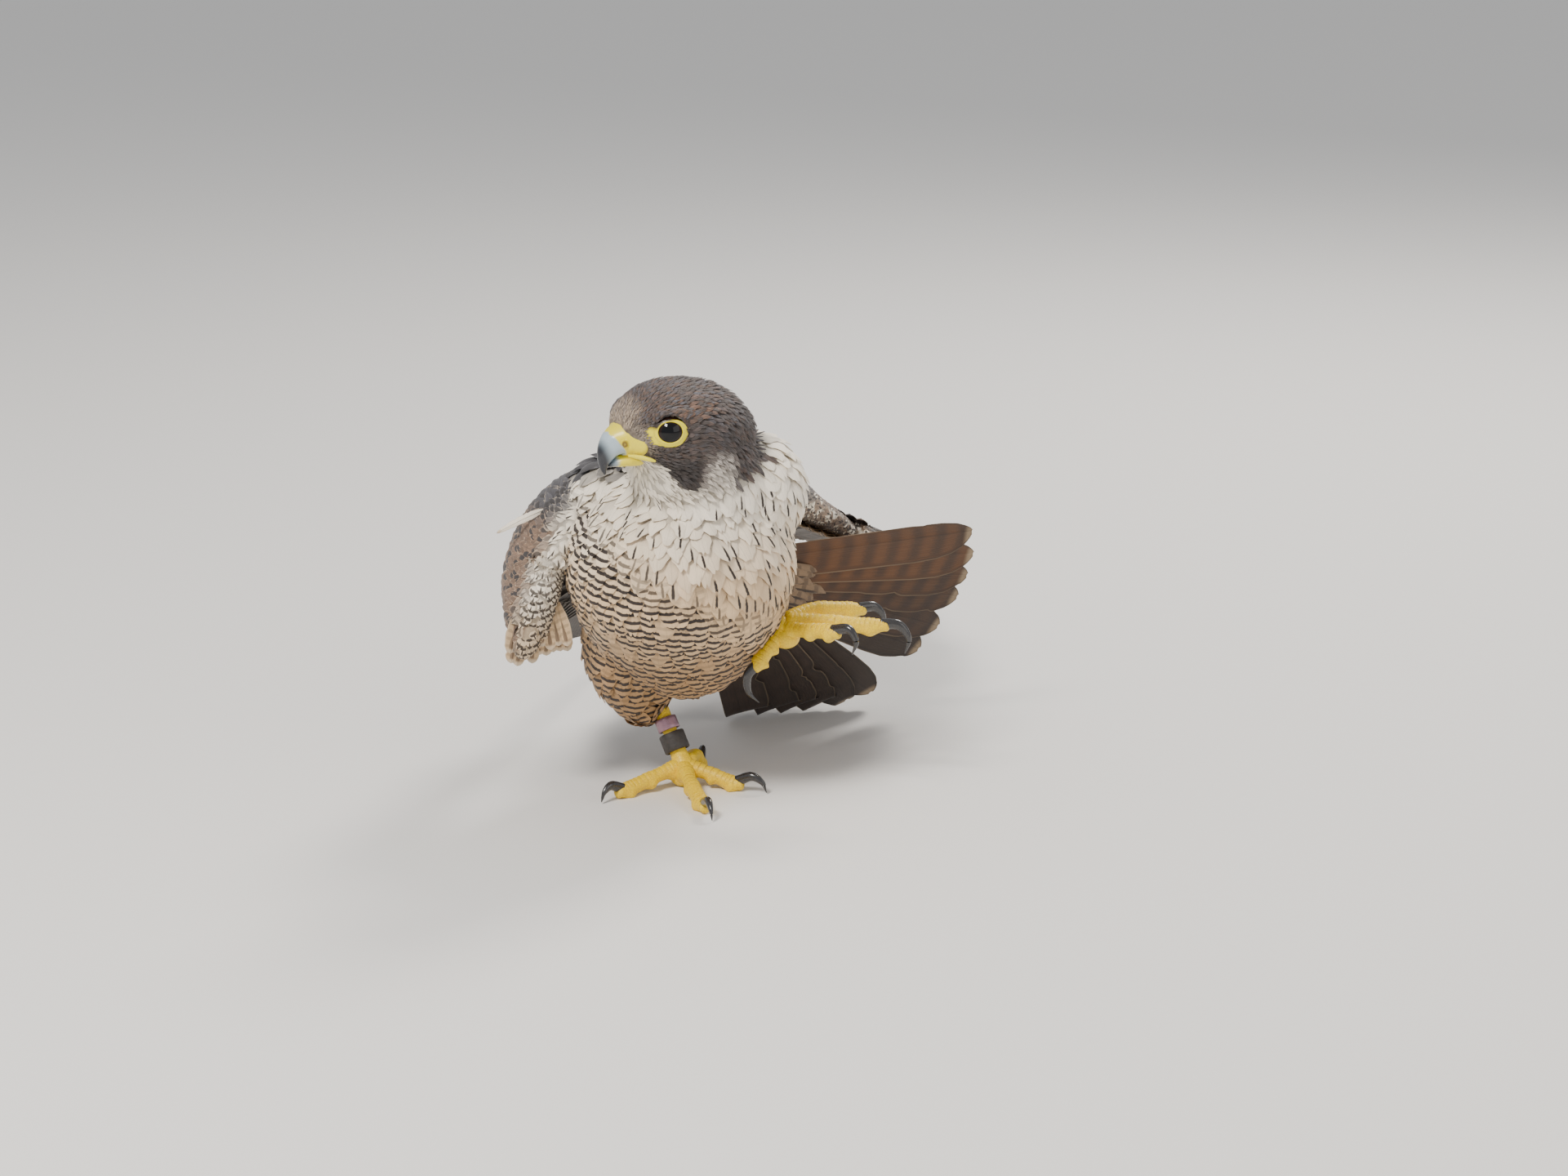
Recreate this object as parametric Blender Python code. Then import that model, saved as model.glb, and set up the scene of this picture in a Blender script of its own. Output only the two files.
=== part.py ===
"""A life-size peregrine falcon, still, balancing on its right foot.

The bird faces -Y with its head turned to its right, the left foot lifted, both wings
loosely open and the tail fanned out towards its left. Sizes are in metres, +Z up, and
the origin is on the floor under the middle pad of the standing foot.
"""
import math
import random

import bmesh
import bpy
import numpy as np
from mathutils import Vector

CM = 0.01
MM = 0.001


def cm(x, y, z):
    """A point or a vector given in centimetres."""
    return Vector((x, y, z)) * CM


# Driving sizes of the bird, in metres
GAP = 0.3 * MM
TAIL_LENGTH = 18.3 * CM
TAIL_OUTER_SHORTER = 1.5 * CM
RECTRIX_WIDTH = 2.7 * CM
LONGEST_PRIMARY = 25.6 * CM
SHORTEST_PRIMARY = 14.0 * CM
PRIMARY_WIDTH = 2.7 * CM
SECONDARY_LENGTH = 12.6 * CM
SECONDARY_WIDTH = 3.0 * CM
VANE_THICK = 0.6 * MM
EYE_RADIUS = 9.4 * MM
TOE_RADIUS = 4.4 * MM
TARSUS_RADIUS = 4.6 * MM
RING_WALL = 0.9 * MM
LEATHER = 1.6 * MM
SEED = 7

# Landmarks of the body, in metres
TAIL_ROOT = cm(0.85, 4.2, 11.5)
TAIL_AXIS = Vector((0.651, 0.589, -0.479)).normalized()
TAIL_UP = Vector((-0.317, 0.784, 0.533)).normalized()
HEAD_CENTRE = cm(-0.35, -6.0, 21.25)
HEAD_YAW = math.radians(59)
FOOT_RIGHT = cm(0.0, 0.0, 1.15)
HEEL_RIGHT = cm(-1.8, 1.7, 5.3)
FOOT_LEFT = cm(5.65, -1.8, 9.5)
HEEL_LEFT = cm(2.3, 1.2, 6.9)


def frame(direction, up):
    """Side, direction and up, each of length one and square to one another."""
    direction = direction.normalized()
    side = direction.cross(up).normalized()
    return side, direction, side.cross(direction).normalized()


def smooth_rows(rows, count):
    """Rows of numbers resampled along a smooth curve that passes through them all."""
    rows = np.array(rows, float)
    last = len(rows) - 1
    padded = np.vstack([2 * rows[0] - rows[1], rows, 2 * rows[-1] - rows[-2]])
    made = []
    for place in np.linspace(0, last, count):
        start = min(int(place), last - 1)
        t = place - start
        a, b, c, d = padded[start:start + 4]
        made.append(0.5 * (2 * b + (c - a) * t + (2 * a - 5 * b + 4 * c - d) * t ** 2
                           + (3 * b - a - 3 * c + d) * t ** 3))
    return made


def solid(vertices, faces):
    """A mesh from points and faces, with its faces turned outwards."""
    mesh = bpy.data.meshes.new("shape")
    mesh.from_pydata([tuple(v) for v in vertices], [], faces)
    bm = bmesh.new()
    bm.from_mesh(mesh)
    bmesh.ops.recalc_face_normals(bm, faces=bm.faces)
    bm.to_mesh(mesh)
    bm.free()
    return mesh


def sweep(stations, rings, sides, up, domes=(0.6, 0.6), grow=0.0):
    """A closed body round a bent line.

    Each station is x, y, z, half width, half height above and half height below.
    The line and sizes run smoothly from station to station, and each end is closed
    by a dome whose length is the given share of the half width there.
    """
    rows = smooth_rows(stations, rings)
    points = [Vector(row[:3]) for row in rows]
    loops = []
    dome_steps = 2

    def loop(centre, tangent, wide, above, below):
        across, _, high = frame(tangent, up)
        made = []
        for step in range(sides):
            angle = 2 * math.pi * step / sides
            tall = above if math.sin(angle) > 0 else below
            made.append(centre + across * (wide * math.cos(angle)) + high * (tall * math.sin(angle)))
        return made

    def sizes(row):
        return [max(row[k], 0.0) + grow for k in (3, 4, 5)]

    first = (points[0] - points[1]).normalized()
    final = (points[-1] - points[-2]).normalized()
    start_size, end_size = sizes(rows[0]), sizes(rows[-1])
    start_dome = domes[0] * start_size[0]
    end_dome = domes[1] * end_size[0]
    for step in range(dome_steps, 0, -1):
        turn = math.pi / 2 * step / (dome_steps + 1)
        centre = points[0] + first * start_dome * math.sin(turn)
        loops.append(loop(centre, -first, *[s * math.cos(turn) for s in start_size]))
    for k, row in enumerate(rows):
        before = points[max(k - 1, 0)]
        after = points[min(k + 1, len(points) - 1)]
        loops.append(loop(points[k], after - before, *sizes(row)))
    for step in range(1, dome_steps + 1):
        turn = math.pi / 2 * step / (dome_steps + 1)
        centre = points[-1] + final * end_dome * math.sin(turn)
        loops.append(loop(centre, final, *[s * math.cos(turn) for s in end_size]))
    vertices = [point for ring in loops for point in ring]
    faces = []
    for k in range(len(loops) - 1):
        for step in range(sides):
            after = (step + 1) % sides
            faces.append((k * sides + step, k * sides + after,
                          (k + 1) * sides + after, (k + 1) * sides + step))
    vertices.append(points[0] + first * start_dome)
    vertices.append(points[-1] + final * end_dome)
    pole = len(vertices) - 2
    top = (len(loops) - 1) * sides
    for step in range(sides):
        after = (step + 1) % sides
        faces.append((after, step, pole))
        faces.append((top + step, top + after, pole + 1))
    return solid(vertices, faces)


def ball(centre, half_sizes, segments, rings, grow=0.0):
    """A closed ellipsoid with the given half sizes along X, Y and Z."""
    vertices = []
    for ring in range(1, rings):
        polar = math.pi * ring / rings
        for step in range(segments):
            turn = 2 * math.pi * step / segments
            unit = (math.sin(polar) * math.cos(turn), math.sin(polar) * math.sin(turn),
                    math.cos(polar))
            vertices.append(centre + Vector([unit[k] * (half_sizes[k] + grow)
                                             for k in range(3)]))
    faces = []
    for ring in range(rings - 2):
        for step in range(segments):
            after = (step + 1) % segments
            faces.append((ring * segments + step, ring * segments + after,
                          (ring + 1) * segments + after, (ring + 1) * segments + step))
    vertices.append(centre + Vector((0, 0, half_sizes[2] + grow)))
    vertices.append(centre - Vector((0, 0, half_sizes[2] + grow)))
    pole = len(vertices) - 2
    top = (rings - 2) * segments
    for step in range(segments):
        after = (step + 1) % segments
        faces.append((after, step, pole))
        faces.append((top + step, top + after, pole + 1))
    return solid(vertices, faces)


def hoop(centre, axis, major, minor, along, segments=16, sides=5):
    """A closed ring of oval section about an axis, as the edge of an eyelid."""
    side, _, high = frame(axis, Vector((0, 0, 1)))
    vertices = []
    for step in range(segments):
        turn = 2 * math.pi * step / segments
        out = side * math.cos(turn) + high * math.sin(turn)
        for k in range(sides):
            angle = 2 * math.pi * k / sides
            vertices.append(centre + out * (major + minor * math.cos(angle))
                            + axis.normalized() * (along * math.sin(angle)))
    faces = []
    for step in range(segments):
        for k in range(sides):
            a = step * sides + k
            b = step * sides + (k + 1) % sides
            c = ((step + 1) % segments) * sides + (k + 1) % sides
            d = ((step + 1) % segments) * sides + k
            faces.append((a, b, c, d))
    return solid(vertices, faces)


# Widths of a vane along its length, as shares of its full width, for each kind
BLUNT = ((0.0, 0.35), (0.30, 0.90), (0.80, 1.0), (0.94, 0.72), (1.0, 0.28))
POINTED = ((0.0, 0.35), (0.28, 1.0), (0.62, 0.86), (0.88, 0.52), (1.0, 0.14))
COVERT = ((0.0, 0.50), (0.55, 1.0), (0.88, 0.76), (1.0, 0.26))
INNER = ((0.0, 0.45), (0.45, 0.95), (0.90, 0.86), (1.0, 0.34))


def vane(base, direction, up, length, width, shape, roll=0.0, droop=0.0, outer=0.5,
         outer_side=1.0, floor=None):
    """One feather: a thin closed blade, narrow at its root and its tip.

    outer is the share of the width on the outer side of the shaft, and droop bends
    the tip down by that share of the length.
    """
    side, forward, high = frame(direction, up)
    turned = side * math.cos(roll) + high * math.sin(roll)
    normal = turned.cross(forward)
    vertices = []
    for place, share in shape:
        centre = base + forward * (length * place) - high * (length * droop * place ** 2)
        if floor is not None and centre.z < floor:
            centre.z = floor + (floor - centre.z) * 0.04
        right = width * share * (outer if outer_side > 0 else 1 - outer)
        left = width * share * (1 - outer if outer_side > 0 else outer)
        half = VANE_THICK / 2 * (1.15 - 0.3 * place)
        vertices.append(centre - turned * left + normal * half)
        vertices.append(centre + turned * right + normal * half)
        vertices.append(centre + turned * right - normal * half)
        vertices.append(centre - turned * left - normal * half)
    faces = []
    for k in range(len(shape) - 1):
        a, b = 4 * k, 4 * (k + 1)
        for near in range(4):
            far = (near + 1) % 4
            if near == 0:
                faces.append((a, a + 1, b + 1))
                faces.append((a, b + 1, b))
            else:
                faces.append((a + near, a + far, b + near))
                faces.append((a + far, b + far, b + near))
    end = 4 * (len(shape) - 1)
    faces.append((0, 1, 2, 3))
    faces.append((end, end + 1, end + 2, end + 3))
    return solid(vertices, faces)


def surface(name, colour, roughness, metallic=0.0):
    """A plain material for one sub-part."""
    material = bpy.data.materials.new(name)
    material.use_nodes = True
    shader = material.node_tree.nodes["Principled BSDF"]
    shader.inputs["Base Color"].default_value = (*colour, 1.0)
    shader.inputs["Roughness"].default_value = roughness
    shader.inputs["Metallic"].default_value = metallic
    return material


def node(name, mesh, colour, roughness=0.8, metallic=0.0):
    """An object of its own for one sub-part, with a material of its own."""
    body = bpy.data.objects.new(name, mesh)
    bpy.context.scene.collection.objects.link(body)
    mesh.materials.clear()
    mesh.materials.append(surface(name, colour, roughness, metallic))
    mesh.shade_smooth()
    mesh.set_sharp_from_angle(angle=math.radians(40))
    return body


def largest_surface(mesh):
    """Keep only the largest closed surface of a mesh, split into triangles."""
    bm = bmesh.new()
    bm.from_mesh(mesh)
    bmesh.ops.triangulate(bm, faces=bm.faces)
    left = set(bm.faces)
    groups = []
    while left:
        group = {left.pop()}
        edge = list(group)
        while edge:
            face = edge.pop()
            for rim in face.edges:
                for other in rim.link_faces:
                    if other in left:
                        left.discard(other)
                        group.add(other)
                        edge.append(other)
        groups.append(group)
    if len(groups) > 1:
        keep = max(groups, key=lambda group: sum(face.calc_area() for face in group))
        drop = [face for face in bm.faces if face not in keep]
        bmesh.ops.delete(bm, geom=drop, context="FACES")
    bm.to_mesh(mesh)
    bm.free()
    return mesh


def combine(meshes, operation="UNION"):
    """One Boolean of the first mesh with all the others."""
    holder = bpy.data.collections.new("pieces")
    bpy.context.scene.collection.children.link(holder)
    base = bpy.data.objects.new("base", meshes[0])
    bpy.context.scene.collection.objects.link(base)
    for mesh in meshes[1:]:
        holder.objects.link(bpy.data.objects.new("piece", mesh))
    change = base.modifiers.new("combine", "BOOLEAN")
    change.operation = operation
    change.operand_type = "COLLECTION"
    change.collection = holder
    bpy.context.view_layer.update()
    view = bpy.context.evaluated_depsgraph_get()
    made = bpy.data.meshes.new_from_object(base.evaluated_get(view))
    for piece in list(holder.objects):
        bpy.data.objects.remove(piece)
    bpy.data.collections.remove(holder)
    bpy.data.objects.remove(base)
    return largest_surface(made)


def box(low, high):
    """A closed box between two corners."""
    corners = [Vector((x, y, z)) for x in (low.x, high.x) for y in (low.y, high.y)
               for z in (low.z, high.z)]
    return solid(corners, [(0, 1, 3, 2), (4, 6, 7, 5), (0, 4, 5, 1), (2, 3, 7, 6),
                           (0, 2, 6, 4), (1, 5, 7, 3)])


def half_space(point, normal, reach=0.4):
    """A big closed block on the side of a plane that its normal points to."""
    side, _, high = frame(normal, Vector((0.1, 1, 0.3)))
    away = normal.normalized() * reach
    corners = []
    for shift in (Vector(), away):
        for a, b in ((-1, -1), (1, -1), (1, 1), (-1, 1)):
            corners.append(point + shift + side * (a * reach) + high * (b * reach))
    return solid(corners, [(0, 3, 2, 1), (4, 5, 6, 7), (0, 1, 5, 4), (1, 2, 6, 5),
                           (2, 3, 7, 6), (3, 0, 4, 7)])


def scaled(rows):
    """Stations given in centimetres, in metres."""
    return [[value * CM for value in row] for row in rows]


# Torso, neck and head


def torso_shape():
    """The trunk with its loose breast, flank and vent feathers, breast to rump."""
    stations = scaled([
        (-0.35, -7.3, 14.7, 3.0, 2.5, 2.7),
        (-0.28, -6.2, 14.5, 4.7, 3.8, 4.2),
        (-0.20, -4.8, 14.2, 5.7, 4.7, 5.3),
        (-0.10, -2.8, 13.7, 6.3, 5.3, 6.2),
        (0.00, -0.4, 12.9, 6.3, 5.5, 7.2),
        (0.25, 2.0, 12.1, 5.5, 4.8, 7.6),
        (0.60, 4.0, 11.6, 3.9, 3.2, 5.8),
        (0.85, 5.4, 11.2, 2.3, 1.6, 2.8)])
    return sweep(stations, 13, 22, Vector((0, 0.25, 1)), (0.35, 0.5))


def shoulder_shapes():
    """The loose feathers that stand up over each shoulder."""
    left = ball(cm(3.9, -2.3, 17.2), (0.0310, 0.033, 0.034), 16, 9)
    right = ball(cm(-3.5, -1.2, 16.4), (0.029, 0.036, 0.028), 16, 9)
    return [left, right]


def neck_shape():
    """The short thick neck between the shoulders and the head."""
    stations = scaled([
        (0.6, -2.8, 15.6, 4.4, 3.6, 3.6),
        (0.8, -3.7, 17.3, 4.3, 3.5, 3.7),
        (0.7, -4.6, 18.8, 3.8, 3.2, 3.3),
        (0.3, -5.4, 20.1, 3.1, 2.8, 2.9),
        (-0.1, -5.8, 21.1, 2.5, 2.4, 2.5)])
    return sweep(stations, 7, 20, Vector((0, 1, 0.3)), (0.5, 0.6))


HEAD_FORWARD = Vector((-math.sin(HEAD_YAW), -math.cos(HEAD_YAW), 0.0))
HEAD_LEFT = Vector((math.cos(HEAD_YAW), -math.sin(HEAD_YAW), 0.0))
HEAD_UP = Vector((0.0, 0.0, 1.0))


def head_point(forward, left, up):
    """A point of the head, in centimetres forward, left and up of its centre."""
    return (HEAD_CENTRE + HEAD_FORWARD * (forward * CM) + HEAD_LEFT * (left * CM)
            + HEAD_UP * (up * CM))


def head_stations(rows):
    """Stations along the middle of the head: forward, up, then three half sizes."""
    made = []
    for forward, up, *halves in rows:
        made.append([*head_point(forward, 0, up), *[half * CM for half in halves]])
    return made


def skull_shape():
    """The feathered head from the nape to the face round the bill."""
    stations = head_stations([
        (-3.6, -0.85, 1.85, 1.85, 2.2),
        (-2.3, -0.25, 2.60, 2.50, 2.7),
        (-0.6, 0.00, 2.95, 2.78, 2.8),
        (0.8, 0.05, 2.90, 2.65, 2.7),
        (1.8, -0.10, 2.45, 2.20, 2.3),
        (2.45, -0.34, 1.85, 1.68, 1.70),
        (2.85, -0.52, 1.32, 1.20, 1.16)])
    return sweep(stations, 10, 22, HEAD_UP, (0.6, 0.3))


EYE_PLACE = (1.15, 1.95, 0.38)
EYE_LOOK = (0.44, 0.895, 0.06)


def eye_centre(side):
    """The middle of an eyeball, side +1 for the left and -1 for the right."""
    return head_point(EYE_PLACE[0], side * EYE_PLACE[1], EYE_PLACE[2])


def eye_look(side):
    """The way an eye looks out of the head."""
    return (HEAD_FORWARD * EYE_LOOK[0] + HEAD_LEFT * (side * EYE_LOOK[1])
            + HEAD_UP * EYE_LOOK[2]).normalized()


def head_node_shape(flesh):
    """Lids and brows are added to the head, then sockets and the mouth line are cut."""
    added = [flesh]
    cuts = []
    for side in (1, -1):
        look = eye_look(side)
        centre = eye_centre(side)
        added.append(hoop(centre + look * 5.2 * MM, look, 8.2 * MM, 1.6 * MM, 2.6 * MM))
        brow = [head_point(0.3, side * 2.52, 1.28), head_point(1.5, side * 2.33, 1.36),
                head_point(2.6, side * 1.62, 0.92)]
        brow_rows = [[*point, *halves] for point, halves in
                     zip(brow, ((2.2 * MM,) * 3, (3.2 * MM,) * 3, (2.0 * MM,) * 3))]
        added.append(sweep(brow_rows, 4, 6, HEAD_UP, (0.8, 0.8)))
        cuts.append(ball(centre, (EYE_RADIUS,) * 3, 16, 10, GAP))
        gape = [head_point(3.0, side * 0.98, -0.98), head_point(2.6, side * 1.50, -1.02),
                head_point(2.2, side * 2.00, -1.10)]
        line_rows = [[*point, 0.7 * MM, 0.45 * MM, 0.45 * MM] for point in gape]
        cuts.append(sweep(line_rows, 3, 5, HEAD_UP, (0.8, 0.8)))
    return combine([combine(added)] + cuts, "DIFFERENCE")


def bill_upper_shape(grow=0.0):
    """The cere and the upper bill down to the hooked tip."""
    stations = head_stations([
        (2.35, -0.35, 1.06, 1.00, 0.60),
        (2.90, -0.34, 1.00, 0.98, 0.62),
        (3.32, -0.46, 0.84, 0.86, 0.56),
        (3.68, -0.76, 0.60, 0.66, 0.47),
        (3.92, -1.18, 0.37, 0.42, 0.38),
        (4.00, -1.62, 0.18, 0.20, 0.22),
        (3.92, -1.98, 0.05, 0.06, 0.07)])
    return sweep(stations, 10, 14, HEAD_UP + HEAD_FORWARD * 0.35, (0.4, 0.8), grow)


def bill_lower_shape(grow=0.0):
    """The short lower bill, closed under the upper one."""
    stations = head_stations([
        (2.20, -1.33, 0.94, 0.42, 0.36),
        (2.80, -1.33, 0.80, 0.38, 0.34),
        (3.25, -1.38, 0.57, 0.30, 0.28),
        (3.58, -1.48, 0.28, 0.16, 0.16)])
    return sweep(stations, 6, 12, HEAD_UP, (0.4, 0.7), grow)


def nostril_cuts():
    """Round nostrils in the cere, with the small cone that stands in each."""
    made = []
    for side in (1, -1):
        mouth = head_point(3.28, side * 0.86, -0.30)
        out = (HEAD_LEFT * side + HEAD_FORWARD * 0.35).normalized()
        rows = [[*(mouth - out * 1.6 * MM), *(1.5 * MM,) * 3],
                [*(mouth + out * 3.0 * MM), *(1.7 * MM,) * 3]]
        made.append(sweep(rows, 2, 8, HEAD_UP, (0.2, 0.2)))
    return made


def build_head_and_trunk():
    """Torso, neck, head, eyes and bill."""
    trunk = combine([torso_shape(), neck_shape(), skull_shape()] + shoulder_shapes())
    neck_low = cm(0.6, -3.4, 17.3)
    neck_low_way = Vector((-0.02, -0.5, 0.86)).normalized()
    neck_high = head_point(-0.9, 0, -1.9)
    neck_high_way = Vector((-0.25, -0.35, 0.9)).normalized()
    half = GAP / 2
    torso = combine([trunk.copy(), half_space(neck_low - neck_low_way * half, neck_low_way)],
                    "DIFFERENCE")
    neck = combine([trunk.copy(), half_space(neck_low + neck_low_way * half, -neck_low_way),
                    half_space(neck_high - neck_high_way * half, neck_high_way)], "DIFFERENCE")
    head = combine([trunk, half_space(neck_high + neck_high_way * half, -neck_high_way)],
                   "DIFFERENCE")
    head = head_node_shape(head)
    head = combine([head, bill_upper_shape(GAP), bill_lower_shape(GAP)], "DIFFERENCE")
    upper = combine([bill_upper_shape()] + nostril_cuts(), "DIFFERENCE")
    lower = combine([bill_lower_shape(), bill_upper_shape(GAP)], "DIFFERENCE")
    node("torso", torso, (0.72, 0.62, 0.48))
    node("neck", neck, (0.80, 0.74, 0.66))
    node("head", head, (0.10, 0.09, 0.09))
    node("bill_upper", upper, (0.30, 0.33, 0.37), 0.35)
    node("bill_lower", lower, (0.30, 0.33, 0.37), 0.35)
    for side, name in ((1, "eye_left"), (-1, "eye_right")):
        node(name, ball(eye_centre(side), (EYE_RADIUS,) * 3, 16, 10), (0.02, 0.01, 0.01), 0.08)


# Tail

# Turn of each tail feather in the fan, in degrees from the tail's axis, left to right
TAIL_TURNS = (-37.4, -30.9, -24.9, -19.1, -11.0, -4.5, 8.6, 13.4, 17.8, 21.9, 26.6, 34.0)
TAIL_ROLL = math.radians(8)
TAIL_FLOOR = 5.2 * MM


def fan_direction(axis, across, degrees):
    """A direction in the plane of a fan, turned from its axis."""
    angle = math.radians(degrees)
    return axis * math.cos(angle) + across * math.sin(angle)


def tail_shape():
    """The tail base with its twelve feathers and the coverts over and under them."""
    across = TAIL_UP.cross(TAIL_AXIS)
    start = TAIL_ROOT - TAIL_AXIS * 1.0 * CM
    rows = []
    for along, wide, thick in ((0.0, 1.9, 1.25), (2.4, 2.3, 1.0), (4.6, 2.2, 0.5)):
        rows.append([*(start + TAIL_AXIS * (along * CM)), wide * CM, thick * CM, thick * CM])
    base = sweep(rows, 4, 12, TAIL_UP, (0.5, 0.25))
    pieces = [base]
    middle = (len(TAIL_TURNS) - 1) / 2
    for k, turn in enumerate(TAIL_TURNS):
        outward = abs(k - middle) / middle
        left = k < middle
        direction = fan_direction(TAIL_AXIS, across, turn)
        length = TAIL_LENGTH - TAIL_OUTER_SHORTER * outward ** 1.5
        root = TAIL_ROOT + direction * 1.2 * CM
        level = TAIL_UP * ((0.9 if k == 5 else 0.0) * MM)
        pieces.append(vane(root + level, direction, TAIL_UP, length - 1.2 * CM, RECTRIX_WIDTH,
                           BLUNT, TAIL_ROLL if left else -TAIL_ROLL, 0.0,
                           0.5 - 0.16 * outward, 1.0 if left else -1.0, TAIL_FLOOR))
    for tier, (count, spread, length, width, lift) in enumerate(
            ((6, 46.0, 7.4, 2.7, -1.3), (4, 34.0, 4.9, 2.9, -2.0),
             (4, 38.0, 6.4, 3.0, 1.3))):
        for k in range(count):
            turn = spread * (k / (count - 1) - 0.5) + (2.0 if tier % 2 else 0.0)
            direction = fan_direction(TAIL_AXIS, across, turn)
            sign = 1.0 if lift > 0 else -1.0
            root = TAIL_ROOT + direction * 1.0 * CM + TAIL_UP * (lift * 4.4 * MM)
            pieces.append(vane(root, direction - TAIL_UP * (0.02 * sign), TAIL_UP, length * CM,
                               width * CM, COVERT, math.radians(9) * sign, 0.03 * sign))
    return combine(pieces)


# Wings


class Wing:
    """The bones, plane and feather directions of one wing.

    leading is the front edge from the shoulder to the wrist, chord points from it to
    the feathers, and up is the wing's outer face.
    """

    def __init__(self, leading, chord, up, elbow, wrist, hand_tip, chords, thick,
                 primary_first, primary_last, secondary_last, outer_side, stack, roll):
        self.leading = leading
        self.up = up.normalized()
        self.chord = chord.normalized()
        self.elbow = elbow
        self.wrist = wrist
        self.hand_tip = hand_tip
        self.chords = chords
        self.thick = thick
        self.primary_first = primary_first.normalized()
        self.primary_last = primary_last.normalized()
        self.secondary_last = secondary_last.normalized()
        self.outer_side = outer_side
        self.stack = stack
        self.roll = roll


RIGHT_WING = Wing(
    leading=[cm(-4.2, -3.6, 17.0), cm(-6.0, -4.4, 15.2), cm(-7.2, -4.6, 13.0),
             cm(-7.7, -4.6, 10.9), cm(-8.0, -4.1, 9.3)],
    chord=Vector((-0.16, 0.97, 0.05)), up=Vector((-0.87, -0.20, 0.38)),
    elbow=cm(-7.8, 3.2, 13.7), wrist=cm(-8.2, -3.6, 9.3), hand_tip=cm(-8.1, 2.4, 7.9),
    chords=(4.2, 6.6, 7.4, 5.1, 2.7), thick=(2.5, 2.8, 3.0, 2.9, 2.4),
    primary_first=Vector((0.08, 0.985, -0.13)), primary_last=Vector((0.09, 0.975, -0.205)),
    secondary_last=Vector((0.16, 0.96, -0.20)), outer_side=-1.0, stack=0.8 * MM,
    roll=math.radians(9))

LEFT_WING = Wing(
    leading=[cm(4.6, -2.0, 17.0), cm(6.7, 2.6, 15.9), cm(8.1, 6.4, 14.2),
             cm(9.2, 9.4, 12.7), cm(10.0, 12.0, 11.4)],
    chord=Vector((-0.86, 0.40, 0.16)), up=Vector((0.34, 0.20, 0.92)),
    elbow=cm(3.3, 6.6, 15.1), wrist=cm(9.7, 12.2, 11.4), hand_tip=cm(10.6, 18.0, 10.0),
    chords=(2.6, 4.4, 5.2, 3.6, 2.0), thick=(2.6, 2.2, 1.9, 1.6, 1.3),
    primary_first=Vector((-0.26, 0.94, -0.20)), primary_last=Vector((0.06, 0.97, -0.22)),
    secondary_last=Vector((-0.34, 0.92, -0.16)), outer_side=1.0, stack=0.35 * MM,
    roll=math.radians(8))


def wing_core(wing):
    """The arm with its skin and small coverts, and the hand beyond the wrist."""
    rows = []
    for edge, chord, thick in zip(wing.leading, wing.chords, wing.thick):
        centre = edge + wing.chord * (chord * CM / 2)
        rows.append([*centre, chord * CM / 2, thick * CM / 2, thick * CM / 2])
    arm = sweep(rows, 7, 12, wing.up, (0.5, 0.5))
    way = wing.hand_tip - wing.wrist
    rows = []
    for share, wide, thick in ((0.0, 1.15, 0.72), (0.5, 0.9, 0.5), (1.0, 0.45, 0.28)):
        rows.append([*(wing.wrist + way * share), wide * CM, thick * CM, thick * CM])
    hand = sweep(rows, 3, 8, wing.up, (0.7, 0.6))
    return [arm, hand]


def bone_line(wing, share):
    """A point along the wing from the wrist at 0, past the elbow, to the shoulder at 1."""
    bend = 0.62
    shoulder = wing.leading[0] + wing.chord * 1.5 * CM
    if share < bend:
        return wing.wrist.lerp(wing.elbow, share / bend)
    return wing.elbow.lerp(shoulder, (share - bend) / (1 - bend))


def primaries(wing):
    """Ten long feathers of the hand, the ninth the longest."""
    count = 10
    made = []
    for k in range(count):
        share = k / (count - 1)
        direction = wing.primary_first.lerp(wing.primary_last, share).normalized()
        base = wing.wrist.lerp(wing.hand_tip, share)
        length = SHORTEST_PRIMARY + (LONGEST_PRIMARY - SHORTEST_PRIMARY) * share ** 0.9
        if k == count - 1:
            length -= 0.6 * CM
        base = base - wing.up * (wing.stack * k)
        made.append(vane(base, direction, wing.up, length, PRIMARY_WIDTH * (1.05 - 0.3 * share),
                         POINTED, wing.roll * wing.outer_side, 0.035,
                         0.42 - 0.2 * share, wing.outer_side))
    return made


def secondaries(wing):
    """The inner flight feathers, from the wrist past the elbow."""
    count = 10
    made = []
    for k in range(count):
        share = (k + 0.6) / count
        base = bone_line(wing, share * 0.78)
        direction = wing.primary_first.lerp(wing.secondary_last, share).normalized()
        length = SECONDARY_LENGTH * (1.0 - 0.22 * share ** 2)
        made.append(vane(base, direction, wing.up, length, SECONDARY_WIDTH, INNER,
                         wing.roll * wing.outer_side, 0.05, 0.4, wing.outer_side))
    return made


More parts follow.
